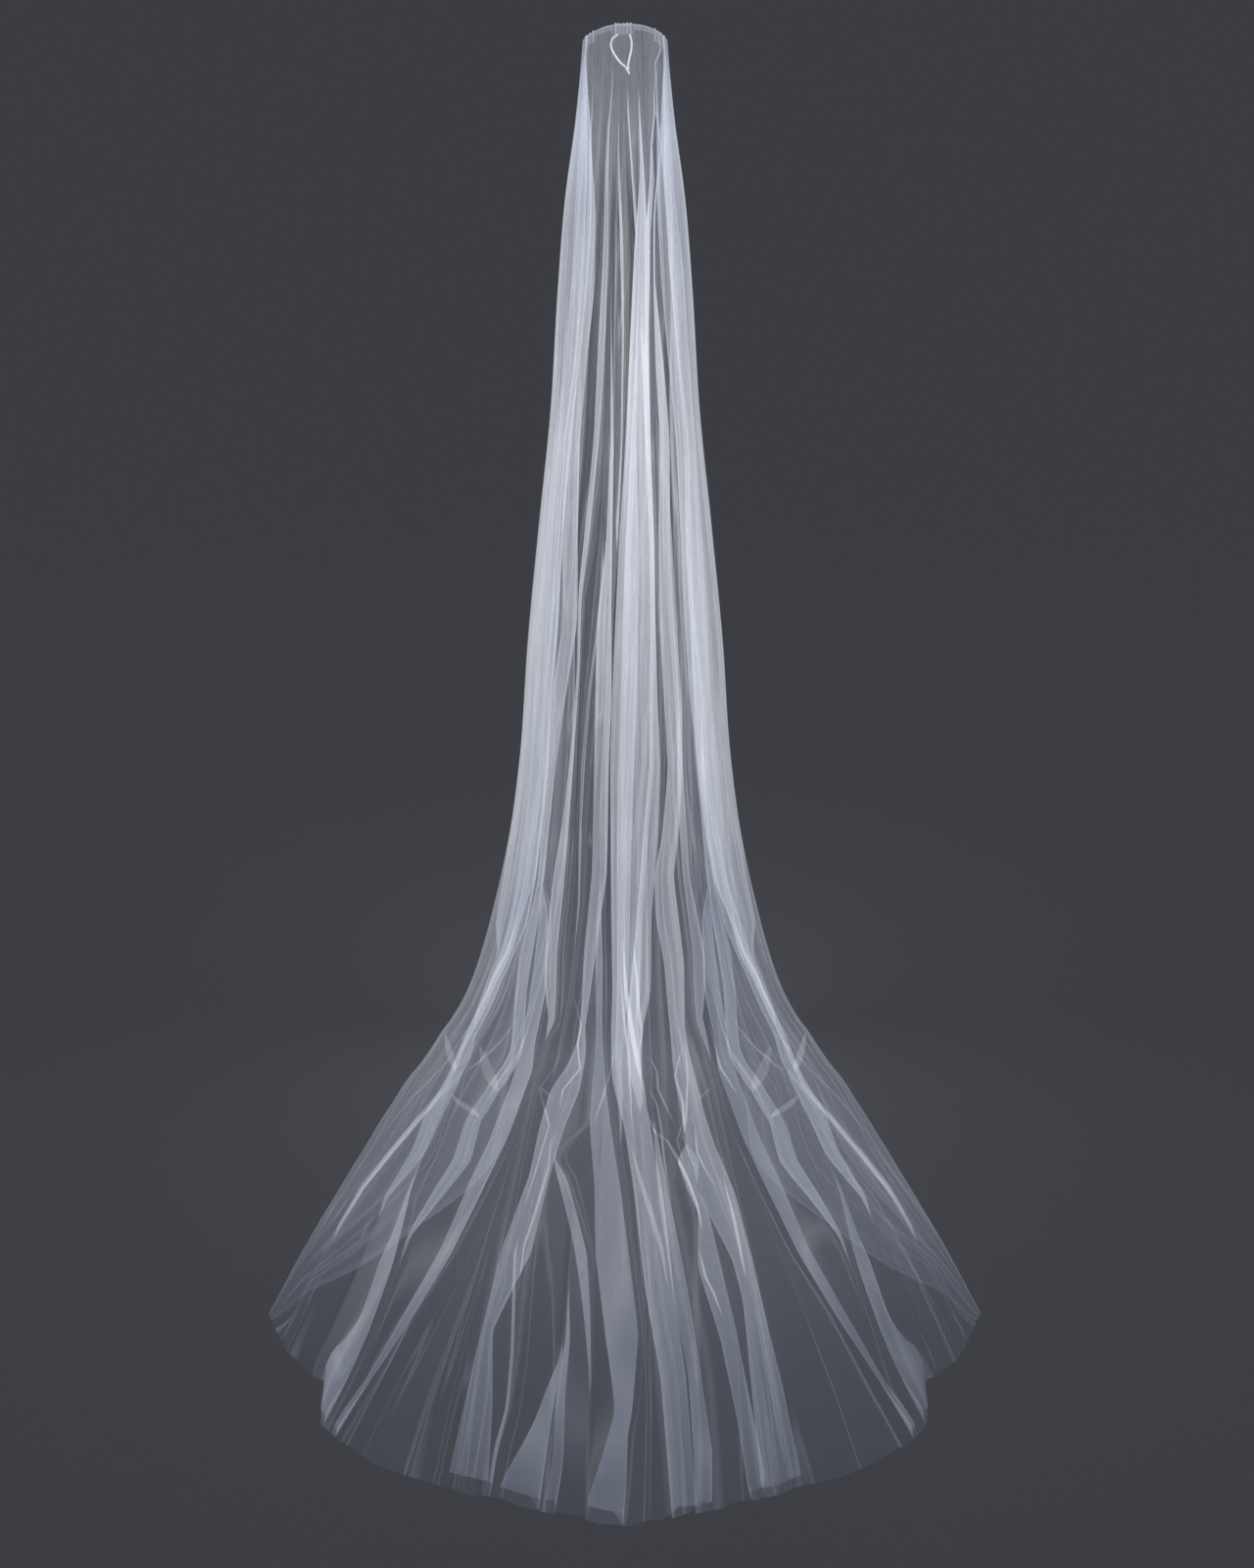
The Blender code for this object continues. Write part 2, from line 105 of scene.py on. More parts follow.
cloth = {
    "crownHeight": 1.66,
    "lean": math.radians(1.5),
    "sweepRadius": 0.22,
    "floorGap": 0.0008,
    "headingArch": 0.0245,
    "archLength": 0.20,
    "archPower": 2.8,
    "rise": ((-0.066, 0.0047), (-0.046, 0.0029), (-0.013, 0.0040), (0.042, 0.0047), (0.066, 0.0047)),
    "edgeReach": 1.02,
    "bowStraight": 0.38,
    "bowPower": 6,
    "bowRound": 0.06,
    "cornerFrom": 0.80,       # outside this share of the half width the hem is cut straight to the corner
    "cornerCut": 0.095,
    "cornerLength": 0.45,
    "swellWaves": 1.6,
    "swellTurn": 0.9,
    "gridStep": 0.0005,
    "gridReach": 0.52,
    "liftPasses": 2,
    "foldShare": 0.25,        # largest share of a layer's width that its fold takes
    "rowSteps": ((1.35, 0.0260), (2.10, 0.0145), (3.079, 0.0200)),     # up to this run, rows this far apart
    "seedWidth": 0.0005,      # a lap that has not opened is a crease this wide
    "clearLength": 0.30,      # over which the closed laps move out of the way of one that opens
    "clearWidth": 0.10,
    "straightShare": 0.75,    # how much of a fold's course is straight from turn to turn
    "seatLength": 0.05,       # a lap leaves its seat over at least this length
    "seedFirst": 0.4,         # share of seedWidth at the heading, and the run where it is whole
    "seedLength": 0.2,
    "fullyOpen": 0.999,       # from here on, a lap lies where its turns say
    "widest": 0.8,            # a lap's largest share of the half width
    "fullWidth": 0.008,       # from this width on, a lap has the full pitch
    "leastPitch": 0.12,       # share of the pitch that a crease has
    "ownWidth": 0.004,        # from this width on, a lap shows its own cover
    "closedCover": 0.355,     # its three layers then cover as one does
    "edgeLines": (0.25, 0.8),       # of the turned-in side edge and of the outer fold
    "closedLine": 0.12,       # how much a closed fold shows as a line
    "backLine": 0.75,
    "lineFrom": 0.09,         # run where the inner laps start to show as lines, and over what length
    "lineOver": 0.12,
    "foldRound": (0.29, 0.707),     # inwards and up, at the middle of a quarter circle
    "foldLines": (0.7, 0.12),       # share of its line that a fold shows there and beside it
    "outPoints": 8,
    "backPoints": 3,
    "clearShares": (0.33, 0.72),    # points of a layer before it clears the fold below, and after
    "downShares": (0.3, 0.6, 0.85),
    "stopsApart": 0.35,             # least share of an even spacing
    "strandRuns": (0.2, 1.3),       # the gathers keep the places that they have between these
    "hemLength": 0.22,        # the raw edge's unevenness grows over this length
    "ragged": 0.0055,
    "tears": ((61, 0.4, 0.5), (147, 1.9, 0.3), (389, 4.2, 0.25)),     # waves to a metre, start, height
    "seed": 7,
    "lapStep": (0.014, 0.034),     # a lap's upper layers end this much short of the lowest
    "flatWidth": 2.20,
    "flatLength": 3.10,
    "flatArea": 5.2,
}
gaps = {                      # metres that folds keep from each other and from the ends of a half
    "end": 0.0012,
    "middle": 0.0004,
    "side": 0.0020,
    "fold": 0.0009,
    "step": 0.0006,           # added for each lap that lies further out
    "closed": 0.0004,         # between laps that have not opened
    "slide": 0.05,            # how far an opening lap may lie over the laps inside it
}

# Laps from the side edge inwards. turns: run in centimetres, left and right fold in millimetres.
# seat: where the lap starts at the heading, as a share of the half width. opens: length over which it
# opens and closes. dense: how many times an open layer's cover its layers have, at the runs of denseRuns.
Lap = namedtuple("Lap", "seat opens dense turns")
denseRuns = (0.20, 0.50, 0.90, 1.50, 2.10)
even = (1.0, 1.0, 1.0, 1.0, 1.0)
outerTurns = ((153, -220, -196), (158, -238, -221), (164, -256, -244), (172, -277, -271),
    (186, -298, -290), (200, -332, -323), (216, -367, -359), (233, -398, -391), (251, -418, -414))
shoulderTurns = ((158, -232, -212), (169, -272, -252), (185, -297, -274), (198, -319, -292),
    (213, -331, -310), (232, -359, -353))
hemTurns = ((228, -326, -322), (246, -340, -327), (254, -349, -331), (275, -362, -346), (297, -387, -369),
    (306, -394, -380))
turnedTurns = ((147, -166, -149), (153, -181, -159), (159, -188, -168), (172, -193, -172),
    (186, -227, -202), (199, -253, -229), (214, -265, -238), (227, -289, -272), (243, -315, -311))
sideTurns = ((141, -145, -141), (146, -147, -133), (159, -161, -135), (170, -174, -152),
    (179, -182, -155), (191, -195, -169), (207, -213, -188), (221, -234, -210), (245, -265, -248),
    (268, -305, -293), (287, -336, -331), (308, -368, -364))
leftLaps = {
    "outerFold": Lap(-0.93, 0.08, (0.82, 1.0, 1.5, 1.1, 1.0), (
        (10, -78, -60), (23, -97, -60), (38, -111, -68), (52, -120, -80), (65, -132, -98),
        (82, -150, -109), (95, -163, -113), (109, -175, -126), (120, -184, -130), (132, -197, -143),
        (140, -209, -155), (148, -223, -183)) + outerTurns),
    "shoulderFold": Lap(-0.85, 0.10, (0.80, 0.9, 1.3, 1.1, 1.0), (
        (2, -64, -62), (10, -68, -58), (17, -73, -53), (28, -80, -53), (41, -87, -62), (52, -97, -74),
        (65, -116, -88), (82, -134, -104), (95, -143, -111), (109, -154, -124), (120, -162, -130),
        (132, -175, -144), (140, -187, -153), (148, -200, -169)) + shoulderTurns),
    "hemFold": Lap(-0.78, 0.10, (1.0, 1.0, 1.0, 1.0, 0.75), hemTurns),
    "turnedFold": Lap(-0.70, 0.12, (0.8, 0.9, 1.0, 1.1, 1.0), (
        (17, -56, -54), (28, -60, -47), (41, -72, -50), (52, -84, -62), (65, -101, -74), (81, -104, -78),
        (95, -103, -80), (109, -126, -102), (119, -137, -116), (132, -143, -131),
        (140, -150, -141)) + turnedTurns),
    "sideFold": Lap(-0.60, 0.10, (1.0, 1.0, 1.0, 1.1, 1.0), sideTurns),
    "shortFold": Lap(-0.36, 0.05, (1.2, 1.5, 1.5, 1.2, 1.0), (
        (8.5, -20, -19), (16, -28, -25), (36, -36, -27), (48, -43, -32), (64, -51, -42), (81, -68, -60),
        (90, -77, -72), (102, -80, -76), (113, -88, -83), (128, -104, -94), (140, -124, -104),
        (153, -137, -117), (159, -138, -118), (165, -130, -120))),
    "diamondEdge": Lap(-0.24, 0.10, even, (
        (89, -41, -37), (97, -49, -46), (108, -64, -59), (119, -73, -68), (132, -79, -75), (144, -81, -78))),
    "leftRunner": Lap(-0.20, 0.12, (1.0, 1.4, 1.6, 1.4, 1.1), (
        (44, -23, -22), (64, -24, -19), (81, -31, -21), (94, -46, -23), (108, -50, -23), (119, -52, -28),
        (139, -57, -32), (153, -71, -51), (167, -77, -68), (171, -83, -66), (186, -120, -75),
        (200, -135, -96), (218, -146, -115), (243, -177, -135), (266, -193, -178), (286, -205, -170),
        (308, -215, -167))),
    "leftThread": Lap(-0.18, 0.08, even, (
        (245, -159, -155), (272, -152, -148), (286, -153, -149), (297, -162, -158), (309, -166, -163))),
    "leftGusset": Lap(-0.16, 0.05, even, (
        (271, -86, -83), (287, -113, -93), (308, -152, -103))),
    "narrowGusset": Lap(-0.14, 0.05, even, (
        (255, -79, -77), (266, -80, -74), (281, -88, -77), (297, -89, -76), (308, -95, -83))),
    "crossRunner": Lap(-0.12, 0.05, even, (
        (212, -110, -107), (217, -104, -91), (229, -87, -72), (241, -72, -55), (254, -60, -49),
        (265, -52, -46), (276, -46, -44))),
    "thinLine": Lap(-0.09, 0.04, (1.2, 1.5, 1.5, 1.2, 1.0), (
        (17, -11, -10), (23, -11, -8), (33, -8, -3), (47, -5, -2), (65, -7, -5), (79, -15, -11))),
    "middleRunner": Lap(-0.04, 0.06, (1.0, 1.0, 1.4, 1.6, 1.1), (
        (144, -46, -42), (155, -51, -39), (167, -49, -39), (174, -51, -36), (186, -55, -31),
        (199, -56, -23), (221, -46, -7), (242, -42, 6), (264, -26, 18), (283, -13, 9), (288, -20, 4),
        (297, -31, 3), (307, -45, -1))),
}


def mirrored(turns):
    return tuple((run, -right, -left) for run, left, right in turns)


rightLaps = {
    "outerFold": Lap(0.93, 0.08, (0.82, 1.0, 1.5, 1.1, 1.0), (
        (10, 60, 78), (23, 62, 97), (38, 72, 111), (52, 86, 120), (65, 101, 132), (82, 105, 150),
        (95, 111, 163), (109, 128, 175), (120, 129, 184), (132, 142, 197), (140, 152, 209),
        (148, 183, 224)) + mirrored(outerTurns)),
    "shoulderFold": Lap(0.87, 0.10, (0.80, 0.9, 1.3, 1.1, 1.0), (
        (2, 62, 64), (10, 58, 68), (16, 56, 72), (27, 64, 80), (37, 71, 93), (52, 84, 104), (65, 98, 115),
        (82, 100, 128), (95, 108, 137), (109, 115, 145), (119, 121, 158), (132, 137, 171),
        (140, 151, 186), (148, 170, 200)) + mirrored(shoulderTurns)),
    "hemFold": Lap(0.78, 0.10, (1.0, 1.0, 1.0, 1.0, 0.75), mirrored(hemTurns)),
    "turnedFold": Lap(0.72, 0.12, (0.8, 0.9, 1.0, 1.1, 1.0), (
        (14, 50, 53), (27, 51, 66), (39, 58, 72), (52, 70, 84), (65, 83, 99), (82, 92, 105),
        (95, 99, 111), (109, 110, 128), (119, 121, 136), (132, 132, 144),
        (140, 142, 151)) + mirrored(turnedTurns)),
    "sideFold": Lap(0.62, 0.10, (1.0, 1.0, 1.0, 1.1, 1.0), mirrored(sideTurns)),
    "shortFold": Lap(0.56, 0.12, (1.2, 1.6, 1.5, 1.2, 1.0), (
        (81, 74, 77), (95, 81, 85), (109, 89, 95), (120, 87, 97), (132, 93, 105), (140, 99, 111),
        (146, 107, 124), (153, 116, 136), (159, 117, 137), (165, 121, 131))),
    "rightRunner": Lap(0.50, 0.10, (1.2, 1.5, 1.6, 1.3, 1.0), (
        (18, 56, 57), (28, 45, 48), (39, 45, 48), (52, 49, 62), (64, 56, 72), (81, 55, 74), (95, 57, 81),
        (108, 65, 90), (120, 72, 97), (132, 63, 90), (139, 50, 83), (147, 53, 92), (155, 67, 101),
        (167, 76, 101), (180, 81, 115), (195, 89, 127), (206, 95, 139), (225, 114, 166), (245, 153, 181),
        (257, 163, 188), (284, 165, 206), (308, 167, 216))),
    "splitRunner": Lap(0.44, 0.08, even, (
        (214, 81, 113), (222, 93, 108), (230, 107, 122), (247, 104, 136), (267, 128, 151),
        (288, 143, 163), (305, 150, 172))),
    "upperStrip": Lap(0.80, 0.05, (1.0, 1.8, 1.0, 1.0, 1.0), (
        (3, 55, 57), (10, 48, 50), (18, 40, 43), (23, 39, 46), (31, 33, 40), (39, 36, 39), (46, 37, 38))),
    "secondStrip": Lap(0.38, 0.05, even, (
        (201, 45, 48), (224, 50, 66), (255, 68, 89), (276, 83, 100), (296, 86, 109), (309, 85, 105))),
    "mainRunner": Lap(0.30, 0.03, (1.3, 2.5, 1.7, 1.6, 1.1), (
        (11, 21, 22), (23, 23, 31), (33, 15, 36), (52, 6, 39), (64, 1, 41), (81, -10, 48), (94, -16, 50),
        (108, -22, 54), (119, -25, 59), (131, -25, 56), (146, -24, 45), (160, -22, 43), (167, -24, 30),
        (182, -21, 27), (199, -2, 39), (221, 13, 50), (251, 28, 66), (276, 47, 80), (309, 57, 87))),
    "brightEdge": Lap(0.26, 0.05, (1.0, 2.0, 1.7, 1.6, 1.0), (
        (47, 25, 27), (52, 27, 33), (64, 32, 38), (81, 40, 48), (95, 42, 50), (108, 42, 47),
        (119, 41, 48), (131, 31, 40), (146, 20, 30), (167, 3, 23), (182, 8, 27), (191, 19, 28))),
    "innerStrip": Lap(0.20, 0.08, (1.0, 1.5, 1.6, 1.4, 1.0), (
        (57, 13, 16), (81, 0, 22), (108, -7, 19), (131, -14, 11), (158, -14, 5), (173, -17, -4),
        (199, -9, -5))),
    "slantLine": Lap(0.06, 0.03, (1.5, 1.5, 1.0, 1.0, 1.0), (
        (12, 3, 5), (21, 9, 12), (30, 15, 19), (35, 19, 20))),
}
# Where the two halves meet: run in centimetres, x in millimetres
middleTurns = ((0, 0), (12, -1), (20, 1), (33, 5), (45, 3), (57, 1), (64, -2), (81, -10.5), (94, -19.5),
    (108, -22.5), (120, -27), (131, -28.5), (146, -33), (160, -31), (167, -31.5), (182, -26.5),
    (199, -12.5), (221, 3), (242, 14), (251, 20), (276, 30), (309, 28))


def inMetres(creases):
    return tuple((strip, tuple((run / 1000, x / 1000) for run, x in way)) for strip, way in creases)


# Creases that cross the laps where the cloth comes down onto the floor: half the width in metres at the
# middle of their length, how much they show, and run and x in millimetres. Side creases lie on both sides.
sideCreases = inMetres((
    ((0.0060, 0.10), ((1676, 306), (1805, 279))),
    ((0.0100, 0.07), ((1710, 245), (1880, 207))),
    ((0.0085, 0.09), ((1891, 283), (1978, 231))),
    ((0.0030, 0.06), ((1676, 306), (1690, 256))),
    ((0.0028, 0.09), ((1460, 182), (1527, 203), (1570, 226), (1640, 252), (1671, 256))),
    ((0.0024, 0.09), ((1682, 204), (1805, 271), (1884, 292), (2002, 329), (2165, 364), (2336, 395),
        (2513, 417))),
    ((0.0035, 0.11), ((1851, 140), (1897, 119))),
    ((0.0022, 0.10), ((1651, 183), (1699, 210), (1746, 237), (1805, 267))),
    ((0.0020, 0.08), ((1650, 230), (1760, 300), (1900, 345), (2080, 380))),
    ((0.0020, 0.08), ((1600, 150), (1699, 170), (1800, 200), (1930, 226))),
))
middleCreases = inMetres((
    ((0.0040, 0.25), ((1500, -4), (1587, 0), (1677, 11), (1747, 19), (1842, 29), (1914, 35))),
    ((0.0026, 0.22), ((1508, 13), (1578, 20), (1633, 23), (1677, 28), (1741, 23))),
    ((0.0022, 0.20), ((1551, -9), (1633, -4), (1733, 5), (1857, 8), (1986, 11))),
    ((0.0022, 0.26), ((1725, 21), (1750, 44), (1788, 53), (1858, 54), (1922, 65), (1989, 78))),
    ((0.0020, 0.24), ((1835, 27), (1865, 41), (1926, 52), (2006, 57), (2112, 60), (2197, 65),
        (2262, 70))),
    ((0.0024, 0.26), ((1940, 34), (2024, 46), (2053, 66), (2103, 77), (2200, 96), (2283, 108),
        (2366, 113))),
    ((0.0018, 0.20), ((1699, 102), (1747, 90), (1808, 82), (1916, 93), (1990, 93), (2051, 81),
        (2156, 91))),
    ((0.0018, 0.18), ((1695, 102), (1820, 103), (1972, 97), (2044, 91), (2122, 100), (2172, 113))),
    ((0.0018, 0.18), ((2009, 110), (2099, 112), (2152, 121), (2208, 133))),
    ((0.0024, 0.20), ((2189, 149), (2307, 159), (2419, 165), (2517, 170))),
    ((0.0036, 0.10), ((2057, 8), (2202, 25), (2306, 40), (2405, 52), (2522, 60))),
    ((0.0018, 0.16), ((2005, 39), (2179, 51), (2308, 58), (2430, 63), (2546, 68))),
    ((0.0018, 0.16), ((2414, 106), (2499, 113), (2553, 124), (2617, 133))),
    ((0.0018, 0.18), ((1595, -91), (1662, -75), (1707, -80), (1780, -75), (1823, -89), (1866, -102),
        (1942, -105))),
    ((0.0018, 0.16), ((1695, -17), (1800, -25), (1903, -38), (1988, -50))),
    ((0.0020, 0.16), ((1651, 140), (1699, 149), (1780, 159), (1891, 183))),
    ((0.0018, 0.14), ((2009, -116), (2151, -117), (2287, -131), (2415, -145), (2565, -149))),
    ((0.0018, 0.12), ((1700, -100), (1860, -140), (2000, -120), (2150, -135), (2300, -150))),
))
creaseRelief = {
    "height": 0.0022,
    "width": 0.012,
    "slow": 0.0008,           # slow unevenness of the spread cloth
    "slowWaves": ((31, 9, 1.3), (-13, 17, 0.0)),     # across, along, and where the wave starts
    "slowFrom": 1.4,
    "slowOver": 0.25,
}
tiny = 1e-6


def smooth(at, runs, values):
    runs = np.asarray(runs, float)
    values = np.asarray(values, float)
    slopes = np.gradient(values, runs)
    i = int(np.clip(np.searchsorted(runs, at) - 1, 0, len(runs) - 2))
    step = runs[i + 1] - runs[i]
    t = (at - runs[i]) / step
    start = (1 + 2 * t) * (1 - t) ** 2 * values[i] + t * (1 - t) ** 2 * slopes[i] * step
    end = t * t * (3 - 2 * t) * values[i + 1] + t * t * (t - 1) * slopes[i + 1] * step
    return float(start + end)


def kinked(at, runs, values):     # a fold is nearly straight from turn to turn
    straight = cloth["straightShare"]
    return (1 - straight) * smooth(at, runs, values) + straight * float(np.interp(at, runs, values))


def ease(t):
    t = min(max(t, 0.0), 1.0)
    return t * t * (3 - 2 * t)


def between(least, share):     # least where share is 0, and 1 where it is 1
    return least + (1 - least) * share


sectionRuns = [row[0] for row in sections]


def sectionAt(run):
    return {name: smooth(run, sectionRuns, [row[k] for row in sections])
            for k, name in enumerate(sectionColumns) if k > 0}


def centreLine(run):     # y and z of the middle, and its outward direction
    floor = cloth["floorGap"] - cloth["crownHeight"]
    lean = cloth["lean"]
    radius = cloth["sweepRadius"]
    straight = (-floor - radius * (1 - math.sin(lean))) / math.cos(lean)
    y1 = -straight * math.sin(lean)
    z1 = -straight * math.cos(lean)
    sweep = radius * (math.pi / 2 - lean)
    if run <= straight:
        return -run * math.sin(lean), -run * math.cos(lean), -math.cos(lean), math.sin(lean)
    if run <= straight + sweep:
        angle = lean + (run - straight) / radius
        y = y1 - radius * (math.cos(lean) - math.cos(angle))
        z = z1 - radius * (math.sin(angle) - math.sin(lean))
        return y, z, -math.cos(angle), math.sin(angle)
    return y1 - radius * math.cos(lean) - (run - straight - sweep), floor, 0.0, 1.0


def placeRow(run, x, height):     # world points of one row
    here = sectionAt(run)
    across = np.minimum(np.abs(x) / here["half"], cloth["edgeReach"])
    y, z, outY, outZ = centreLine(run)
    rise = height - here["wrap"] * across ** 2
    rounded = np.hypot(across, cloth["bowRound"]) - cloth["bowRound"]
    bow = cloth["bowStraight"] * rounded + (1 - cloth["bowStraight"]) * across ** cloth["bowPower"]
    near = ease(1 - run / cloth["archLength"])
    lift = np.interp(x, *zip(*cloth["rise"])) - cloth["headingArch"] * across ** cloth["archPower"]
    return np.stack([x, y + rise * outY + here["setback"] * bow, z + rise * outZ + near * lift], 1)


def turnRows(turns):     # runs in metres, the rest as it stands
    runs, *others = zip(*turns)
    return [run / 100 for run in runs], *others


def lapCourse(run, lap, half):     # middle, width, how far the lap is open, and how near it is to that
    runs, lefts, rights = turnRows(lap.turns)
    at = min(max(run, runs[0]), runs[-1])
    left = kinked(at, runs, lefts) / 1000
    right = kinked(at, runs, rights) / 1000
    middle = (left + right) / 2
    if run < runs[0]:
        share = middle / sectionAt(runs[0])["half"]
        back = ease((runs[0] - run) / max(runs[0], cloth["seatLength"]))
        middle = half * (share + (lap.seat - share) * back)
    elif run > runs[-1]:
        middle *= half / sectionAt(runs[-1])["half"]
    away = max(runs[0] - run, run - runs[-1], 0.0)
    opened = 1 - ease(away / lap.opens)
    near = 1 - ease(away / cloth["clearLength"])
    seed = cloth["seedWidth"] * between(cloth["seedFirst"], ease(run / cloth["seedLength"]))
    width = seed + max(right - left - seed, 0.0) * opened
    return middle, width, opened, near


def lapEdges(run, laps, side, half, meet):
    # folds of one half as the cloth takes them, mirrored for the right half, with each lap's openness
    courses = []
    for lap in laps.values():
        middle, width, opened, near = lapCourse(run, lap, half)
        courses.append([side * middle, width, opened, near])
    for k in range(len(courses) - 1, -1, -1):     # a closed lap makes room for the open ones
        inside = side * meet - gaps["end"]
        for middle, width, opened, near in courses[k + 1:]:
            inside = min(inside, middle + (opened - 0.5) * width + (1 - near) * cloth["clearWidth"])
        bound = inside - gaps["closed"] * (len(courses) - k)
        opened = courses[k][2]
        if opened < cloth["fullyOpen"]:
            courses[k][0] = min(courses[k][0], bound + opened * gaps["slide"])
    edges = []
    reach = gaps["side"] - half
    for k, (middle, width, opened, near) in enumerate(courses):
        width = min(width, cloth["widest"] * half)
        left = middle - width / 2
        right = middle + width / 2
        least = reach + gaps["fold"]
        if right < least:
            left, right = left + least - right, least
        left = max(left, -half + gaps["end"] + gaps["step"] * k)
        right = max(right, left + cloth["seedWidth"])
        edges.append((left, right, opened, width))
        reach = left
    nextRight = side * meet
    for k in range(len(edges) - 1, -1, -1):
        left, right, opened, width = edges[k]
        right = min(right, side * meet - gaps["middle"])
        left = min(left, right - cloth["seedWidth"], nextRight - gaps["fold"])
        edges[k] = (left, right, opened, width)
        nextRight = right
    return edges


def layHalf(run, laps, side, here, meet):
    half = here["half"]
    folds = lapEdges(run, laps, side, half, meet)
    edges = [here["flap"] - half, -half]
    pitches = [here["pitch"], here["pitch"]]
    lines = list(cloth["edgeLines"])      # how strongly each fold shows as a line
    belowHeading = ease((run - cloth["lineFrom"]) / cloth["lineOver"])
    for k, (left, right, opened, width) in enumerate(folds):
        scale = min(max(width / cloth["fullWidth"], cloth["leastPitch"]), 1.0)
        edges += [right, left]
        pitches += [here["pitch"] * scale] * 2
        strength = between(cloth["closedLine"], opened)
        if k > 1:     # just below the heading only the two outer laps show as lines
            strength *= belowHeading
        lines += [strength, strength * cloth["backLine"]]
    edges.append(side * meet)
    step = cloth["gridStep"]
    grid = np.arange(-cloth["gridReach"], cloth["gridReach"], step)
    wave = 2 * math.pi * cloth["swellWaves"] * side * grid / half + cloth["swellTurn"]
    top = here["swell"] * (1 + np.sin(wave))
    layers = []
    for k in range(len(edges) - 1):
        pitch = pitches[k]
        stops = layerStops(edges, k, pitch, here["fall"])
        heights = restOn(top, grid, stops, pitch, here["fall"])
        low = min(edges[k], edges[k + 1])
        high = max(edges[k], edges[k + 1])
        covered = (grid >= low - step) & (grid <= high + step)
        order = 1 if stops[-1] > stops[0] else -1
        laid = np.interp(grid, stops[::order], heights[::order])
        top = np.where(covered, np.maximum(top, laid), top)
        layers.append((stops, heights))
    return roundedColumns(layers, lines, folds, laps, here, run)


def layerStops(edges, k, pitch, fall):     # where the points of one layer lie, from fold to fold
    start = edges[k]
    end = edges[k + 1]
    fold = min(pitch / 2, abs(end - start) * cloth["foldShare"])
    way = 1 if end > start else -1
    first = start + way * fold
    last = end - way * fold
    count = cloth["backPoints"] if k > 0 and k % 2 == 0 else cloth["outPoints"]
    if k % 2:
        clear = edges[k - 1] + pitch / 2
        down = edges[k - 1] + 2 * pitch / fall
        wanted = [first + (clear - first) * share for share in cloth["clearShares"]]
        wanted += [clear, (clear + down) / 2, down]
        wanted += [down + (last - down) * share for share in cloth["downShares"]]
    else:
        wanted = [first + (last - first) * (i + 1) / (count + 1) for i in range(count)]
    least = abs(last - first) / (count + 1) * cloth["stopsApart"]
    inner = []
    for i, x in enumerate(wanted):     # in order, and never closer than half of least
        lowest = first + way * least * (i + 1)
        highest = last - way * least * (count - i)
        x = max(x, lowest) if way > 0 else min(x, lowest)
        x = min(x, highest) if way > 0 else max(x, highest)
        if inner:
            x = max(x, inner[-1] + least / 2) if way > 0 else min(x, inner[-1] - least / 2)
        inner.append(x)
    return [start, first, *inner, last, end]


def restOn(top, grid, stops, pitch, fall):     # heights at which a layer lies on all that is below it
    ahead = np.maximum.accumulate(top + fall * grid) - fall * grid
    behind = np.maximum.accumulate((top - fall * grid)[::-1])[::-1] + fall * grid
    heights = np.interp(stops, grid, np.maximum(ahead, behind) + pitch)
    step = cloth["gridStep"]
    for _ in range(cloth["liftPasses"]):
        for i in range(len(stops) - 1):
            low = min(stops[i], stops[i + 1])
            high = max(stops[i], stops[i + 1])
            first = int((low - grid[0]) / step)
            last = int((high - grid[0]) / step) + 2
            near = grid[first:last]
            inside = (near >= low) & (near <= high)
            if not inside.any():
                continue
            along = (near[inside] - stops[i]) / (stops[i + 1] - stops[i])
            laid = heights[i] + (heights[i + 1] - heights[i]) * along
            lift = max(0.0, float(np.max(top[first:last][inside] + pitch - laid)))
            heights[i] += lift
            heights[i + 1] += lift
        reach = np.abs(np.subtract.outer(stops, stops)) * fall
        heights = np.max(heights[None, :] - reach, axis=1)
    return heights


def roundedColumns(layers, lines, folds, laps, here, run):
    # columns of (x, height, line, cover factor, lap layer), with half-round folds
    dense = [float(np.interp(run, denseRuns, lap.dense)) * here["lap"] for lap in laps.values()]
    inward, upward = cloth["foldRound"]
    nearLine, farLine = cloth["foldLines"]
    columns = []

    def cover(x, k):
        factors = []
        for j in ((k - 3) // 2, (k - 1) // 2) if k % 2 else ((k - 2) // 2,):
            if 0 <= j < len(folds) and folds[j][0] - tiny <= x <= folds[j][1] + tiny:
                opened, width = folds[j][2:]
                own = min(1.0, width / cloth["ownWidth"])
                hidden = between(cloth["closedCover"], opened)     # a closed lap doesn't show
                factors.append(dense[j] * own + (1 - own) * hidden)
        return max(factors, default=1.0)

    for k, (stops, heights) in enumerate(layers):
        last = k == len(layers) - 1
        before = layers[k - 1][1][-1] if k else heights[0]
        after = heights[-1] if last else layers[k + 1][1][0]
        tip = (before + heights[0]) / 2
        nextTip = (after + heights[-1]) / 2
        lineAfter = 0.0 if last else lines[k + 1]
        rows = [(stops[0], tip, lines[k])]
        rows.append((stops[0] + inward * (stops[1] - stops[0]), tip + upward * (heights[1] - tip),
                     nearLine * lines[k]))
        rows.append((stops[1], heights[1], farLine * lines[k]))
        rows += [(x, h, 0.0) for x, h in zip(stops[2:-2], heights[2:-2])]
        rows.append((stops[-2], heights[-2], farLine * lineAfter))
        if last:
            rows.append((stops[-1], heights[-1], 0.0))
        else:
            rows.append((stops[-1] + inward * (stops[-2] - stops[-1]),
                         nextTip + upward * (heights[-2] - nextTip), nearLine * lineAfter))
        j = (k - 2) // 2
        for x, h, line in rows:
            onLap = 0 <= j < len(folds) and x <= folds[j][1] + tiny
            columns.append((x, h, line, cover(x, k), j if onLap else -1))
    return columns


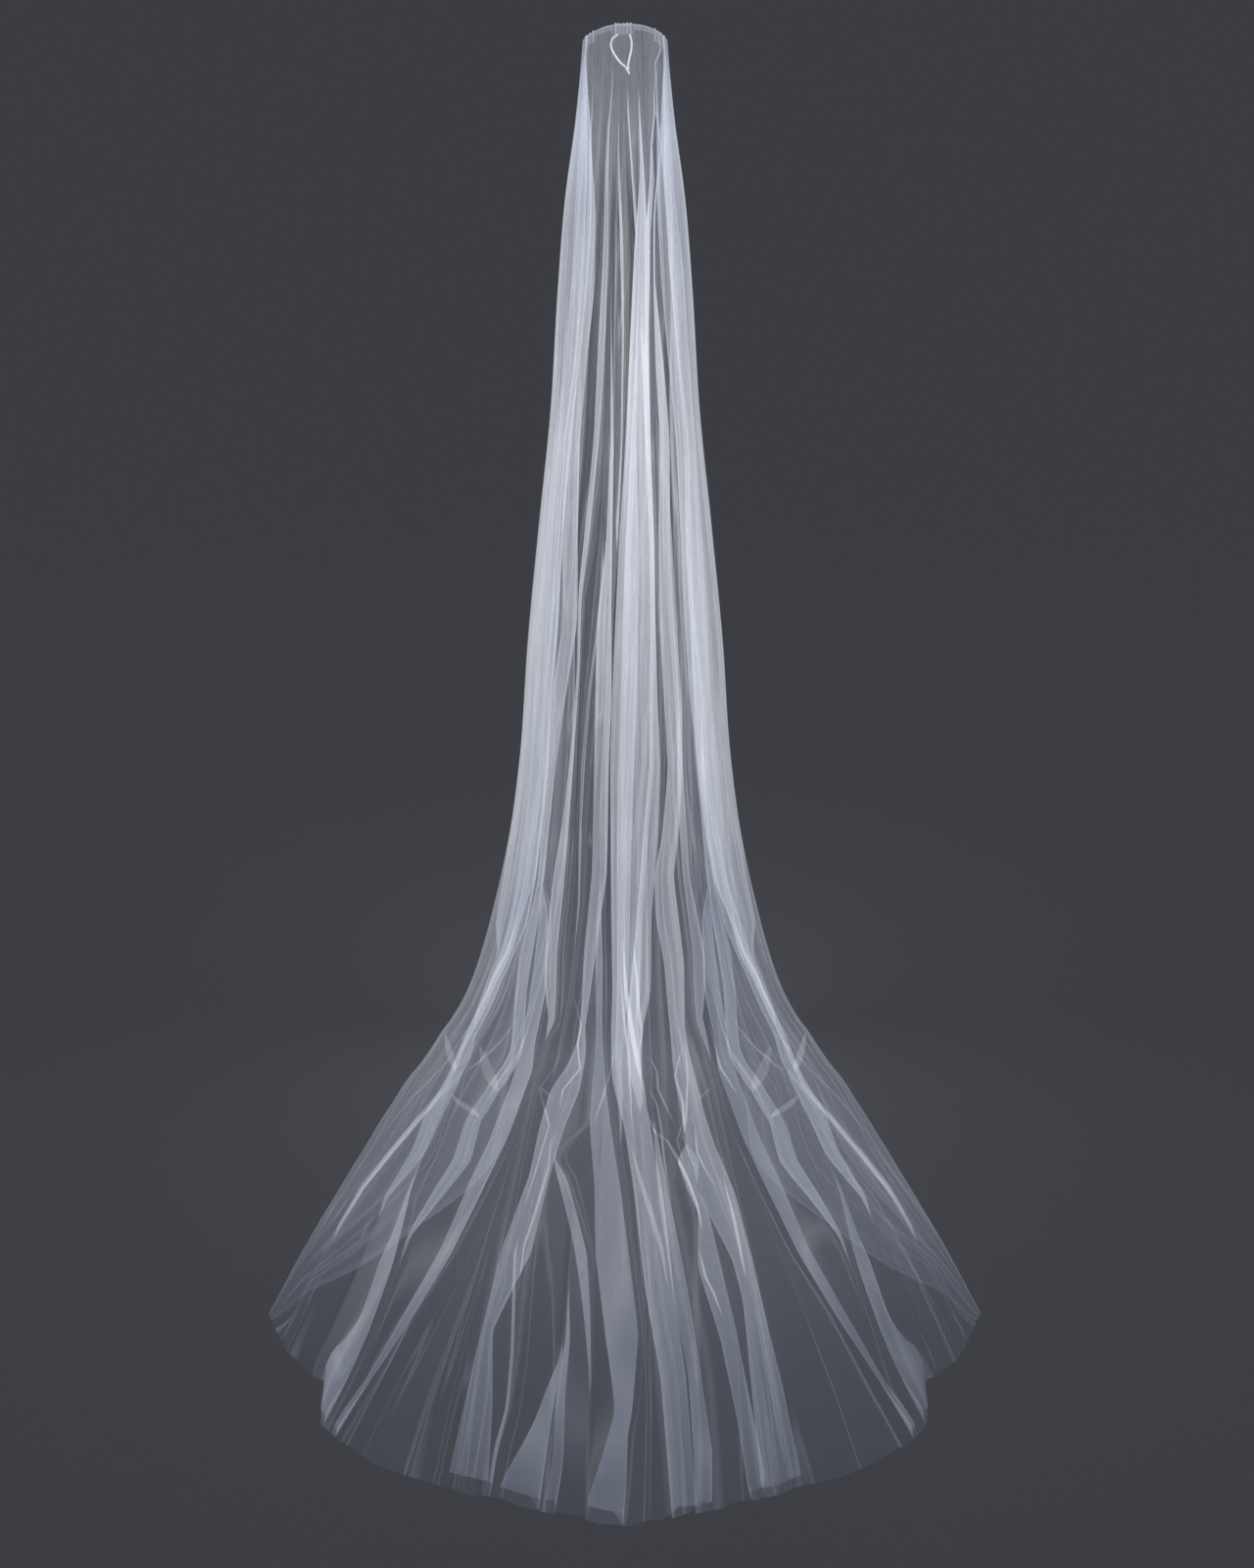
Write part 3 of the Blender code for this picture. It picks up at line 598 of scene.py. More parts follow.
def clothRow(run):
    here = sectionAt(run)
    meet = smooth(run, *turnRows(middleTurns)) / 1000
    left = layHalf(run, leftLaps, 1, here, meet)
    right = layHalf(run, rightLaps, -1, here, meet)
    right = [(-c[0], c[1], c[2], c[3], -1 if c[4] < 0 else c[4] + len(leftLaps)) for c in right]
    middle = (meet, (left[-1][1] + right[-1][1]) / 2, 0.0, 1.0, -1)
    return left[:-1] + [middle] + right[:-1][::-1], len(left) - 1, here


def rowRuns():
    runs = [0.0]
    for end, step in cloth["rowSteps"]:
        count = math.ceil((end - runs[-1]) / step)
        start = runs[-1]
        runs += [start + (end - start) * (i + 1) / count for i in range(count)]
    return runs


def segmentDistance(x, run, start, end):
    way = np.subtract(end, start)
    along = ((run - start[0]) * way[0] + (x - start[1]) * way[1]) / max(float(way @ way), tiny ** 2)
    along = np.clip(along, 0, 1)
    return np.hypot(run - start[0] - along * way[0], x - start[1] - along * way[1])


def relief(x, run):     # soft ridges under the creases, and slow unevenness of the spread cloth
    total = np.zeros_like(x)
    for creases, sides in ((sideCreases, (1, -1)), (middleCreases, (1,))):
        for _, way in creases:
            for side in sides:
                nearest = np.full_like(x, np.inf)
                for start, end in zip(way, way[1:]):
                    nearest = np.minimum(nearest, segmentDistance(side * x, run, start, end))
                total += creaseRelief["height"] * np.exp(-(nearest / creaseRelief["width"]) ** 2)
    slow = creaseRelief["slow"]
    for across, along, turn in creaseRelief["slowWaves"]:
        slow = slow * np.sin(x * across + run * along + turn)
    spread = np.clip((run - creaseRelief["slowFrom"]) / creaseRelief["slowOver"], 0, 1)
    return total + (slow + creaseRelief["slow"]) * spread


def setAttribute(mesh, name, values):
    mesh.attributes.new(name, "FLOAT", "POINT").data.foreach_set("value", values.astype(np.float32).ravel())


def meshFrom(name, points, faces):
    mesh = bpy.data.meshes.new(name)
    mesh.from_pydata([tuple(p) for p in points], [], faces)
    mesh.shade_smooth()
    mesh.update()
    return mesh


def gridFaces(rows, columns):
    return [(r * columns + c, (r + 1) * columns + c, (r + 1) * columns + c + 1, r * columns + c + 1)
            for r in range(rows - 1) for c in range(columns - 1)]


def addItem(name, data):
    item = bpy.data.objects.new(name, data)
    bpy.context.scene.collection.objects.link(item)
    return item


def addPiece(name, mesh, material):
    mesh.materials.clear()
    mesh.materials.append(material)
    return addItem(name, mesh)


def setUv(mesh, u, v):
    corners = np.zeros(len(mesh.loops), np.int32)
    mesh.loops.foreach_get("vertex_index", corners)
    layer = mesh.uv_layers.new(name="UVMap")
    layer.data.foreach_set("uv", np.stack([u[corners], v[corners]], 1).astype(np.float32).ravel())


def hemCuts(across, share, lapLayer):     # how far each column ends short of the hem, and of the corners
    random = np.random.default_rng(cloth["seed"])
    steps = random.uniform(*cloth["lapStep"], len(leftLaps) + len(rightLaps))
    short = np.where(lapLayer >= 0, steps[lapLayer.astype(int)], 0.0)
    tear = sum(np.sin(across * often + turn) * high for often, turn, high in cloth["tears"])
    tear = tear + sum(high for often, turn, high in cloth["tears"])
    outside = share > cloth["cornerFrom"]
    corner = cloth["cornerCut"] * np.clip((1 - share) / (1 - cloth["cornerFrom"]), 0, 1) * outside
    return ((short + cloth["ragged"] * tear, cloth["hemLength"]), (corner, cloth["cornerLength"]))


def makeVeil(material):
    runs = rowRuns()
    rows = []
    for run in runs:
        columns, middle, here = clothRow(run)
        rows.append((run, np.array(columns), here))
    x, height, line, factor = (np.array([row[1][:, k] for row in rows]) for k in range(4))
    count = x.shape[1]
    runGrid = np.repeat(np.array(runs)[:, None], count, 1)
    height = height + relief(x, runGrid)
    steps = [np.diff(values, axis=1, prepend=values[:, :1]) for values in (x, height)]
    across = np.cumsum(np.hypot(*steps), axis=1)
    across -= across[:, middle:middle + 1]
    top, bottom = cloth["strandRuns"]
    hanging = (np.array(runs) > top) & (np.array(runs) < bottom)
    strand = np.repeat(across[hanging].mean(0)[None, :], len(runs), 0)
    cuts = hemCuts(across[-1], np.abs(x[-1]) / rows[-1][2]["half"], rows[-1][1][:, 4])
    points = []
    for r, run in enumerate(runs):
        row = placeRow(run, x[r], height[r])
        for cut, length in cuts:
            row[:, 1] += cut * ease((run - runs[-1] + length) / length)
        points.append(row)
    mesh = meshFrom("veilCloth", np.concatenate(points), gridFaces(len(runs), count))
    setAttribute(mesh, "veil", factor * np.array([[row[2]["veil"]] for row in rows]))
    setAttribute(mesh, "line", line)
    setAttribute(mesh, "strand", strand)
    setAttribute(mesh, "run", runGrid)
    setUv(mesh, across.ravel(), -runGrid.ravel())
    print("veil", len(runs), "rows,", count, "columns,", 2 * len(mesh.polygons), "triangles")
    return addPiece("veilCloth", mesh, material), rows


class Wire:     # a socket, so that maths on it reads as an expression
    def __init__(self, finish, socket):
        self.finish = finish
        self.socket = socket

    def __add__(self, other):
        return self.finish.maths("ADD", self, other)

    def __sub__(self, other):
        return self.finish.maths("SUBTRACT", self, other)

    def __rsub__(self, other):
        return self.finish.maths("SUBTRACT", other, self)

    def __mul__(self, other):
        return self.finish.maths("MULTIPLY", self, other)

    def __abs__(self):
        return self.finish.maths("ABSOLUTE", self)

    __radd__ = __add__
    __rmul__ = __mul__


class Finish:     # one material and the nodes in it
    def __init__(self, name):
        self.material = bpy.data.materials.new(name)
        self.material.use_nodes = True
        self.tree = self.material.node_tree
        self.tree.nodes.clear()

    def node(self, kind, settings=None, sockets=None, output=0):
        made = self.tree.nodes.new(kind)
        for key, value in (settings or {}).items():
            if key == "stops":
                self.bend(made.mapping, value)
            else:
                setattr(made, key, value)
        for key, value in (sockets or {}).items():
            if isinstance(value, Wire):
                self.tree.links.new(value.socket, made.inputs[key])
            else:
                made.inputs[key].default_value = value
        return Wire(self, made.outputs[output]) if made.outputs else None

    def bend(self, mapping, stops):     # a float curve that runs straight from stop to stop
        curve = mapping.curves[0]
        curve.points[0].location = stops[0]
        curve.points[1].location = stops[-1]
        for stop in stops[1:-1]:
            curve.points.new(*stop)
        for point in curve.points:
            point.handle_type = "VECTOR"
        mapping.update()

    def maths(self, operation, *values):
        return self.node("ShaderNodeMath", {"operation": operation}, dict(enumerate(values)))

    def limit(self, value, low, high):     # 0 at low, 1 at high
        return self.node("ShaderNodeMapRange", {"clamp": True}, {
            "Value": value, "From Min": low, "From Max": high, "To Min": 0.0, "To Max": 1.0})

    def attribute(self, name):
        return self.node("ShaderNodeAttribute", {"attribute_name": name}, output="Fac")

    def uv(self):
        return self.node("ShaderNodeUVMap", {"uv_map": "UVMap"})

    def place(self):
        return self.node("ShaderNodeTexCoord", {}, {}, "Object")

    def firstOf(self, vector):
        return self.node("ShaderNodeSeparateXYZ", {}, {0: vector})

    def point(self, x, y):
        return self.node("ShaderNodeCombineXYZ", {}, {0: x, 1: y, 2: 0.0})

    def vector(self, operation, first, second, output="Vector"):
        return self.node("ShaderNodeVectorMath", {"operation": operation}, {0: first, 1: second}, output)

    def noise(self, vector, detail=2.0, roughness=0.5):     # flat noise, about 0.5
        return self.node("ShaderNodeTexNoise", {"noise_dimensions": "2D"},
                         {"Vector": vector, "Scale": 1.0, "Detail": detail, "Roughness": roughness})

    def mixColour(self, factor, first, second):
        return self.node("ShaderNodeMix", {"data_type": "RGBA"}, {0: factor, 6: first, 7: second}, 2)

    def bump(self, strength, distance, height):
        sockets = {"Strength": strength, "Distance": distance, "Height": height}
        return self.node("ShaderNodeBump", {}, sockets, "Normal")

    def capped(self, cover):
        return self.node("ShaderNodeClamp", {}, {"Value": cover, "Min": 0.0, "Max": tulle["most"]})

    def show(self, sockets):
        shader = self.node("ShaderNodeBsdfPrincipled", {}, sockets)
        self.node("ShaderNodeOutputMaterial", {}, {"Surface": shader})
        return self.material


# Two runs in brackets are where something starts to show and where it shows in full.
tulle = {
    "thin": (0.62, 0.73, 0.98, 1.0),       # one open layer scatters bluish
    "thick": (0.885, 0.915, 0.975, 1.0),
    "whitens": (0.05, 0.19),               # cover at which it goes from one to the other
    "topBlue": 0.30,                       # share by which it whitens less near the heading
    "topRuns": (0.42, 0.06),
    "most": 0.95,                          # the most that it covers
    "mesh": 0.00135,                       # one hole of the net to the next
    "meshShow": 0.35,
    "netFrom": (1.1, -0.9),                # sum of the net's three waves between its threads, and on them
    "streaks": 230.0,                      # fine gathers to a metre of the hanging cloth
    "streakLength": 1.6,
    "streakDetail": (2.0, 0.6),
    "streakShow": 0.9,
    "streakLeast": 0.4,
    "hangsRuns": (2.0, 0.8),
    "gathersRuns": (0.06, 0.24),
    "lineShow": 0.60,                      # what a fold adds to the cover of one layer where it hangs
    "lineFloor": 0.17,
    "lineRuns": (1.9, 0.7),
    "lineStreaks": (0.6, 0.8),             # fixed part of a line, and the part that follows the streaks
    "creaseShow": 0.8,
    "grain": (330.0, 28.0),                # across and along, to a metre
    "grainShow": 0.55,
    # small folds: noise across and along, how much a strip darkens or lightens, how much its edge shows
    "folds": ((30.0, 0.6, 0.34, 0.13), (66.0, 0.9, 0.36, 0.16), (135.0, 1.5, 0.26, 0.15)),
    "foldDetail": 1.0,
    "foldRuns": (0.10, 0.30),
    "foldLeast": 0.3,                      # share of them that shows above foldRuns
    "foldSettled": 0.40,                   # and on the floor
    "hairSettled": 0.45,                   # the same for their lines
    "floorFrom": 1.35,
    "straighter": 0.72,                    # share by which small folds change less once they lie down
    "foldEdge": 0.012,
    "foldLine": 0.020,
}
netTurns = (0, 60, 120)     # degrees


def netMask(finish, uv, size):     # 1 on the threads of a six-sided net
    waves = None
    for turn in netTurns:
        angle = math.radians(turn)
        way = (math.cos(angle), math.sin(angle), 0.0)
        along = finish.vector("DOT_PRODUCT", uv, way, "Value")
        wave = finish.maths("COSINE", along * (2 * math.pi / size))
        waves = wave if waves is None else waves + wave
    return finish.limit(waves, *tulle["netFrom"])


def creaseMask(finish, run, x, creases):     # strips that taper to a point at both ends
    total = 0.0
    for (half, show), way in creases:
        runs, places = zip(*way)
        low = min(places)
        reach = max(places) - low
        length = runs[-1] - runs[0]
        stops = [((at - runs[0]) / length, (place - low) / reach) for at, place in way]
        along = finish.limit(run, runs[0], runs[-1])
        course = finish.node("ShaderNodeFloatCurve", {"stops": stops}, {"Value": along})
        width = along * (1 - along) * (4 * half)
        strip = finish.maths("COMPARE", x, course * reach + low, width)
        total = total + strip * show
    return total


def smallFolds(finish, run, strand, hanging):     # strips between them, and the lines that they make
    long = cloth["flatLength"]
    start = tulle["floorFrom"]
    course = run - finish.limit(run, start, long) * (long - start) * tulle["straighter"]
    shown = finish.limit(run, *tulle["foldRuns"])
    settled = between(tulle["foldSettled"], hanging)
    strips = 1.0
    hair = 0.0
    for across, along, show, lineShow in tulle["folds"]:
        wander = finish.noise(finish.point(strand * across, course * along), tulle["foldDetail"])
        side = finish.limit(wander, 0.5 - tulle["foldEdge"], 0.5 + tulle["foldEdge"])
        strips = strips * (1 + (side - 0.5) * show * settled * between(tulle["foldLeast"], shown))
        hair = hair + finish.limit(abs(wander - 0.5), tulle["foldLine"], 0.0) * lineShow
    return strips, hair * between(tulle["hairSettled"], hanging) * shown


def makeTulle():
    finish = Finish("tulleNet")
    uv = finish.uv()
    run = finish.attribute("run")
    strand = finish.attribute("strand")
    x = finish.firstOf(finish.place())
    hanging = finish.limit(run, *tulle["hangsRuns"]) * finish.limit(run, *tulle["gathersRuns"])
    streakPoint = finish.point(strand * tulle["streaks"], run * tulle["streakLength"])
    streaks = finish.noise(streakPoint, *tulle["streakDetail"])
    strips, hair = smallFolds(finish, run, strand, hanging)
    streak = (1 + (streaks - 0.5) * (tulle["streakLeast"] + tulle["streakShow"] * hanging)) * strips
    grain = finish.noise(finish.vector("MULTIPLY", uv, (*tulle["grain"], 1.0)))
    streak = streak * (1 + (grain - 0.5) * tulle["grainShow"])
    mesh = 1 + (netMask(finish, uv, tulle["mesh"]) - 0.5) * tulle["meshShow"]
    creases = creaseMask(finish, run, abs(x), sideCreases) + creaseMask(finish, run, x, middleCreases)
    shown = finish.limit(run, *tulle["lineRuns"])
    least = tulle["lineFloor"]
    lines = finish.attribute("line") * (least + (tulle["lineShow"] - least) * shown)
    fixed, follows = tulle["lineStreaks"]
    cover = finish.attribute("veil") * streak * mesh + lines * (fixed + follows * streaks)
    cover = finish.capped(cover + creases * tulle["creaseShow"] + hair)
    top = finish.limit(run, *tulle["topRuns"])
    white = finish.limit(cover, *tulle["whitens"]) * (1 - tulle["topBlue"] * top)
    colour = finish.mixColour(white, tulle["thin"], tulle["thick"])
    return finish.show({"Base Color": colour, "Alpha": cover, "Roughness": 0.75, "Sheen Weight": 0.25,
                        "Sheen Roughness": 0.5, "Specular IOR Level": 0.25})


gathers = {
    "streaks": 900.0,         # to a metre
    "least": 0.03,            # cover between the threads, then what each adds to it
    "streakShow": 0.14,
    "netShow": 0.10,
    "lineShow": 0.60,
    "dark": (0.78, 0.79, 0.96, 1.0),
    "light": (0.90, 0.91, 0.98, 1.0),
    "bump": (0.3, 0.0003),
}


def makeHeadingFinish():
    finish = Finish("gatheredTulle")
    uv = finish.uv()
    net = netMask(finish, uv, tulle["mesh"])
    streaks = finish.noise(finish.point(finish.firstOf(uv) * gathers["streaks"], 0.0))
    cover = gathers["least"] + gathers["streakShow"] * streaks + gathers["netShow"] * net
    cover = finish.capped(cover + gathers["lineShow"] * finish.attribute("line"))
    colour = finish.mixColour(streaks, gathers["dark"], gathers["light"])
    return finish.show({"Base Color": colour, "Alpha": cover, "Roughness": 0.65, "Sheen Weight": 0.25,
                        "Normal": finish.bump(*gathers["bump"], net)})


satinWeave = {
    "grain": 1800.0,          # to a metre
    "dark": (0.93, 0.95, 0.99, 1.0),
    "light": (0.97, 0.98, 1.0, 1.0),
    "rough": (0.32, 0.1),
    "bump": (0.2, 0.0002),
}


def makeSatin():
    finish = Finish("satinRibbon")
    sockets = {"Vector": finish.place(), "Scale": satinWeave["grain"], "Detail": 2.0}
    grain = finish.node("ShaderNodeTexNoise", {}, sockets)
    colour = finish.mixColour(grain, satinWeave["dark"], satinWeave["light"])
    rough, vary = satinWeave["rough"]
    return finish.show({"Base Color": colour, "Roughness": rough + vary * grain, "Sheen Weight": 0.2,
                        "Anisotropic": 0.5, "Normal": finish.bump(*satinWeave["bump"], grain)})


# A tuck: its ends, its depth, and how many gathers it has. A band: its ends.
heading = {
    "bands": {"headingBandLeft": (-0.0465, -0.0185), "headingBandRight": (0.0130, 0.0435)},
    "bandDepth": 0.0080,
    "bandPoints": 36,
    "bandWave": (0.0002, 40, 5),     # height, across and down
    "tucks": {"headingTuckLeft": (-0.0640, -0.0475, 0.016, 3),
              "headingTuckCentre": (-0.0175, 0.0120, 0.0148, 5),
              "headingTuckRight": (0.0445, 0.0640, 0.018, 4)},
    "tuckPoints": 12,         # to a gather
    "tuckHeight": 0.0011,
    "tuckFlatten": 0.4,
    "tuckUneven": (0.35, 2.0, 1.1),     # how the gathers' spacing varies: share, waves, start
    "tuckVary": (0.25, 9, 0.7),         # and their height
    "tuckCloth": 2.2,         # width of the cloth in a gather to the gather's width
    # rows of points as a share of the depth, and how much the edge shows there
    "downs": ((0.0, 1.0), (0.06, 1.0), (0.16, 0.2), (0.3, 0.0), (0.45, 0.0), (0.6, 0.0), (0.75, 0.0),
              (0.9, 0.0), (1.0, 0.25)),
    "edgeRound": 0.0004,      # height of its rounded section
    "stand": 0.0016,          # over the tallest pleat below it
    "ruffle": 0.0026,         # how far the gathers stand up over the straight stretches
    "ruffleLeast": 0.25,
    "crestFade": 0.5,         # share by which the gathers' lines fade downwards
    "notch": (-0.0070, 0.0012),     # the middle gather parts here
    "reach": 0.001,           # pleats this far beside a piece still count as below it
}
headingNodes = {"headingBandLeft": "heading_band_left", "headingBandRight": "heading_band_right",
                "headingTuckLeft": "heading_tuck_left", "headingTuckCentre": "heading_tuck_centre",
                "headingTuckRight": "heading_tuck_right"}


def pleatTop(rows, run, start, end):
    row = min(rows, key=lambda r: abs(r[0] - run))[1]
    near = row[(row[:, 0] >= start - heading["reach"]) & (row[:, 0] <= end + heading["reach"])]
    return float(near[:, 1].max())


def headingTop(rows, depth, start, end):
    return max(pleatTop(rows, 0.0, start, end), pleatTop(rows, depth, start, end)) + heading["stand"]


def headingWave(across, down, waves):
    if not waves:
        high, often, oftenDown = heading["bandWave"]
        return high * np.sin(across * often) * np.sin(down * oftenDown)
    share, often, turn = heading["tuckUneven"]
    uneven = across + share / (2 * math.pi * waves) * np.sin(2 * math.pi * across * often + turn)
    high = heading["tuckHeight"] * (1 - heading["tuckFlatten"] * down)
    wave = high * (1 - np.cos(2 * math.pi * waves * uneven))
    vary, often, turn = heading["tuckVary"]
    return wave * (1 - vary + vary * np.sin(across * often + turn))


def makeHeadingPieces(rows, material):
    pieces = []
    shapes = {name: (*ends, heading["bandDepth"], 0) for name, ends in heading["bands"].items()}
    shapes.update(heading["tucks"])
    for name, (start, end, depth, waves) in shapes.items():
        top = headingTop(rows, depth, start, end)
        across = np.linspace(0, 1, waves * heading["tuckPoints"] + 1 if waves else heading["bandPoints"])
        points = []
        lines = []
        for down, edgeLine in heading["downs"]:
            wave = headingWave(across, down, waves)
            edge = heading["edgeRound"] * (1 - np.abs(2 * down - 1)) ** 0.5
            row = placeRow(depth * down, start + (end - start) * across, top + wave + edge)
            if waves:
                middle, width = heading["notch"]
                parted = 1 - np.exp(-((row[:, 0] - middle) / width) ** 2)
                row[:, 2] += heading["ruffle"] * (1 - down) ** 3 * parted * between(
                    heading["ruffleLeast"], wave / wave.max())
            points.append(row)
            crest = (wave / wave.max()) ** 3 * (1.0 - heading["crestFade"] * down) if waves else 0.0
            lines.append(np.maximum(edgeLine, crest * np.ones(len(across))))
        count = len(heading["downs"])
        mesh = meshFrom(name, np.concatenate(points), gridFaces(count, len(across)))
        setAttribute(mesh, "line", np.concatenate(lines))
        u = np.tile(start + (end - start) * across, count) * (heading["tuckCloth"] if waves else 1.0)
        v = -np.repeat([down * depth for down, _ in heading["downs"]], len(across))
        setUv(mesh, u, v)
        pieces.append(addPiece(name, mesh, material))
    return pieces


stitch = {
    "spacing": 0.0034,
    "length": 0.0022,
    "thickness": 0.0003,
    "sides": 6,
    "uneven": 0.25,
    "seed": 3,
    "down": 0.80,             # share of the band's depth
    "proud": 0.0006,
    "inset": 0.0015,
    "guidePoints": 24,
}
stitchInputs = (("Spacing", "Float"), ("Length", "Float"), ("Thickness", "Float"), ("Seed", "Int"))
stitchNodes = {
    "given": ("NodeGroupInput", {}, {}),
    "line": ("GeometryNodeMeshToCurve", {}, {}),
    "spread": ("GeometryNodeResampleCurve", {"mode": "LENGTH"}, {}),
    "radius": ("ShaderNodeMath", {"operation": "MULTIPLY"}, {1: 0.5}),
    "thread": ("GeometryNodeMeshCylinder", {}, {"Vertices": stitch["sides"]}),
    "tangent": ("GeometryNodeInputTangent", {}, {}),
    "turned": ("FunctionNodeAlignRotationToVector", {"axis": "Z"}, {}),
    "random": ("FunctionNodeRandomValue", {"data_type": "FLOAT"}, {2: 1 - stitch["uneven"], 3: 1.0}),
    "place": ("GeometryNodeInstanceOnPoints", {}, {}),
    "real": ("GeometryNodeRealizeInstances", {}, {}),
    "dressed": ("GeometryNodeSetMaterial", {}, {}),
    "result": ("NodeGroupOutput", {}, {}),
}
stitchLinks = (
    ("given", "Geometry", "line", "Mesh"), ("line", 0, "spread", "Curve"),
    ("given", "Spacing", "spread", "Length"), ("given", "Thickness", "radius", 0),
    ("radius", 0, "thread", "Radius"), ("given", "Length", "thread", "Depth"),
    ("given", "Seed", "random", "Seed"), ("tangent", 0, "turned", "Vector"),
    ("spread", 0, "place", "Points"), ("thread", "Mesh", "place", "Instance"),
    ("turned", 0, "place", "Rotation"), ("random", 1, "place", "Scale"),
    ("place", 0, "real", 0), ("real", 0, "dressed", 0), ("dressed", 0, "result", 0),
)


def stitchTree(material):     # short threads set along a curve
    tree = bpy.data.node_groups.new("stitchRow", "GeometryNodeTree")
    tree.interface.new_socket("Geometry", in_out="INPUT", socket_type="NodeSocketGeometry")
    values = {}
    for label, kind in stitchInputs:
        socket = tree.interface.new_socket(label, in_out="INPUT", socket_type=f"NodeSocket{kind}")
        values[socket.identifier] = stitch[label.lower()]
    tree.interface.new_socket("Geometry", in_out="OUTPUT", socket_type="NodeSocketGeometry")
    made = {}
    for name, (kind, settings, sockets) in stitchNodes.items():
        made[name] = tree.nodes.new(kind)
        for key, value in settings.items():
            setattr(made[name], key, value)
        for key, value in sockets.items():
            made[name].inputs[key].default_value = value
    made["dressed"].inputs["Material"].default_value = material
    for source, output, target, socket in stitchLinks:
        tree.links.new(made[source].outputs[output], made[target].inputs[socket])
    return tree, values


def makeStitches(rows, material):
    tree, values = stitchTree(material)
    depth = heading["bandDepth"]
    places = []
    edges = []
    for start, end in heading["bands"].values():
        top = headingTop(rows, depth, start, end)
        across = np.linspace(start + stitch["inset"], end - stitch["inset"], stitch["guidePoints"])
        points = placeRow(depth * stitch["down"], across, np.full(len(across), top + stitch["proud"]))
        edges += [(len(places) + k, len(places) + k + 1) for k in range(len(points) - 1)]
        places += [tuple(p) for p in points]
    path = bpy.data.meshes.new("stitchPath")
    path.from_pydata(places, edges, [])
    guide = addItem("stitchPath", path)
    row = guide.modifiers.new("stitchRow", "NODES")
    row.node_group = tree
    for identifier, value in values.items():
        row[identifier] = value
    bpy.context.view_layer.update()
    shown = guide.evaluated_get(bpy.context.evaluated_depsgraph_get())
    mesh = bpy.data.meshes.new_from_object(shown)
    bpy.data.objects.remove(guide)
    print("stitches", len(mesh.polygons) // (stitch["sides"] + 2))
    return addPiece("headingStitches", mesh, material)


def loopDepth(z):
    return -ribbon["stand"] - ribbon["tilt"] * (ribbon["leftTurns"][0][1] - z)


def ribbonWay(turns, apart):
    shares = np.linspace(0, 1, len(turns))
    count = (len(turns) - 1) * ribbon["stepsEach"]
    way = []
    for k in range(count + 1):
        x, z = (smooth(k / count, shares, values) for values in zip(*turns))
        way.append((x, loopDepth(z) + apart * k / count, z + ribbon["rise"]))
    return way


def acrossWay(tangent):     # unit vectors to the side of a way and to the front of it
    tangent = tangent / np.linalg.norm(tangent)
    side = np.cross(tangent, (0.0, -1.0, 0.0))
    side /= np.linalg.norm(side)
    return side, np.cross(side, tangent)


def makeRibbon(name, way, width, turn, material):
    # flat ribbon with a slightly crowned middle, turning a little as it hangs
    way = np.array(way)
    points = []
    often, start = ribbon["turnWave"]
    for k, tangent in enumerate(np.gradient(way, axis=0)):
        side, front = acrossWay(tangent)
        angle = turn * math.sin(often * k / (len(way) - 1) + start)
        turnedSide = side * math.cos(angle) + front * math.sin(angle)
        turnedFront = front * math.cos(angle) - side * math.sin(angle)
        for share in ribbon["shares"]:
            points.append(way[k] + turnedSide * share * width / 2
                          + turnedFront * ribbon["roll"] * (1 - share * share))
    mesh = meshFrom(name, points, gridFaces(len(way), len(ribbon["shares"])))
    piece = addPiece(name, mesh, material)
    wall = piece.modifiers.new("wall", "SOLIDIFY")
    wall.thickness = ribbon["thickness"]
    wall.offset = 0.0
    return piece


def makeLoop(material):
    leftWay = ribbonWay(ribbon["leftTurns"], -ribbon["apart"])
    rightWay = ribbonWay(ribbon["rightTurns"], ribbon["apart"])
    left = makeRibbon("loopStrandLeft", leftWay, ribbon["width"], ribbon["turn"], material)
    right = makeRibbon("loopStrandRight", rightWay, ribbon["width"], -ribbon["turn"], material)
    knot, tail = makeKnot(material)
    return left, right, knot, tail, leftWay, rightWay


def makeKnot(material):
    # the ribbon drawn tight over itself, and its short cut end
    x, z = ribbon["knotPlace"]
    centre = np.array((x, loopDepth(z) - ribbon["knotProud"], z + ribbon["rise"]))
    radius = ribbon["knotRadius"] / 3
    deep, tall = ribbon["knotStretch"]
    turns = np.linspace(0, 2 * math.pi, ribbon["knotSteps"] + 1)[:-1]
    way = [centre + radius * np.array((math.sin(t) + 2 * math.sin(2 * t), -deep * math.sin(3 * t),
                                       tall * (math.cos(t) - 2 * math.cos(2 * t)))) for t in turns]
    points = []
    sides = ribbon["knotSides"]
    for k, at in enumerate(way):
        side, front = acrossWay(way[(k + 1) % len(way)] - way[k - 1])
        for i in range(sides):
            angle = 2 * math.pi * i / sides
            points.append(at + side * math.cos(angle) * ribbon["knotBand"]
                          + front * math.sin(angle) * ribbon["knotThick"])
    faces = [(k * sides + i, k * sides + (i + 1) % sides, (k + 1) % len(way) * sides + (i + 1) % sides,
              (k + 1) % len(way) * sides + i) for k in range(len(way)) for i in range(sides)]
    knot = addPiece("loopKnot", meshFrom("loopKnot", points, faces), material)
    driftX, driftY = ribbon["tailDrift"]
    steps = ribbon["tailSteps"]
    downs = [-ribbon["tailStart"] - ribbon["tailLength"] * k / steps for k in range(steps + 1)]
    tailWay = [centre + np.array((driftX * k, driftY * k, down)) for k, down in enumerate(downs)]
    tail = makeRibbon("loopTail", tailWay, ribbon["tailWidth"], ribbon["tailTurn"], material)
    return knot, tail


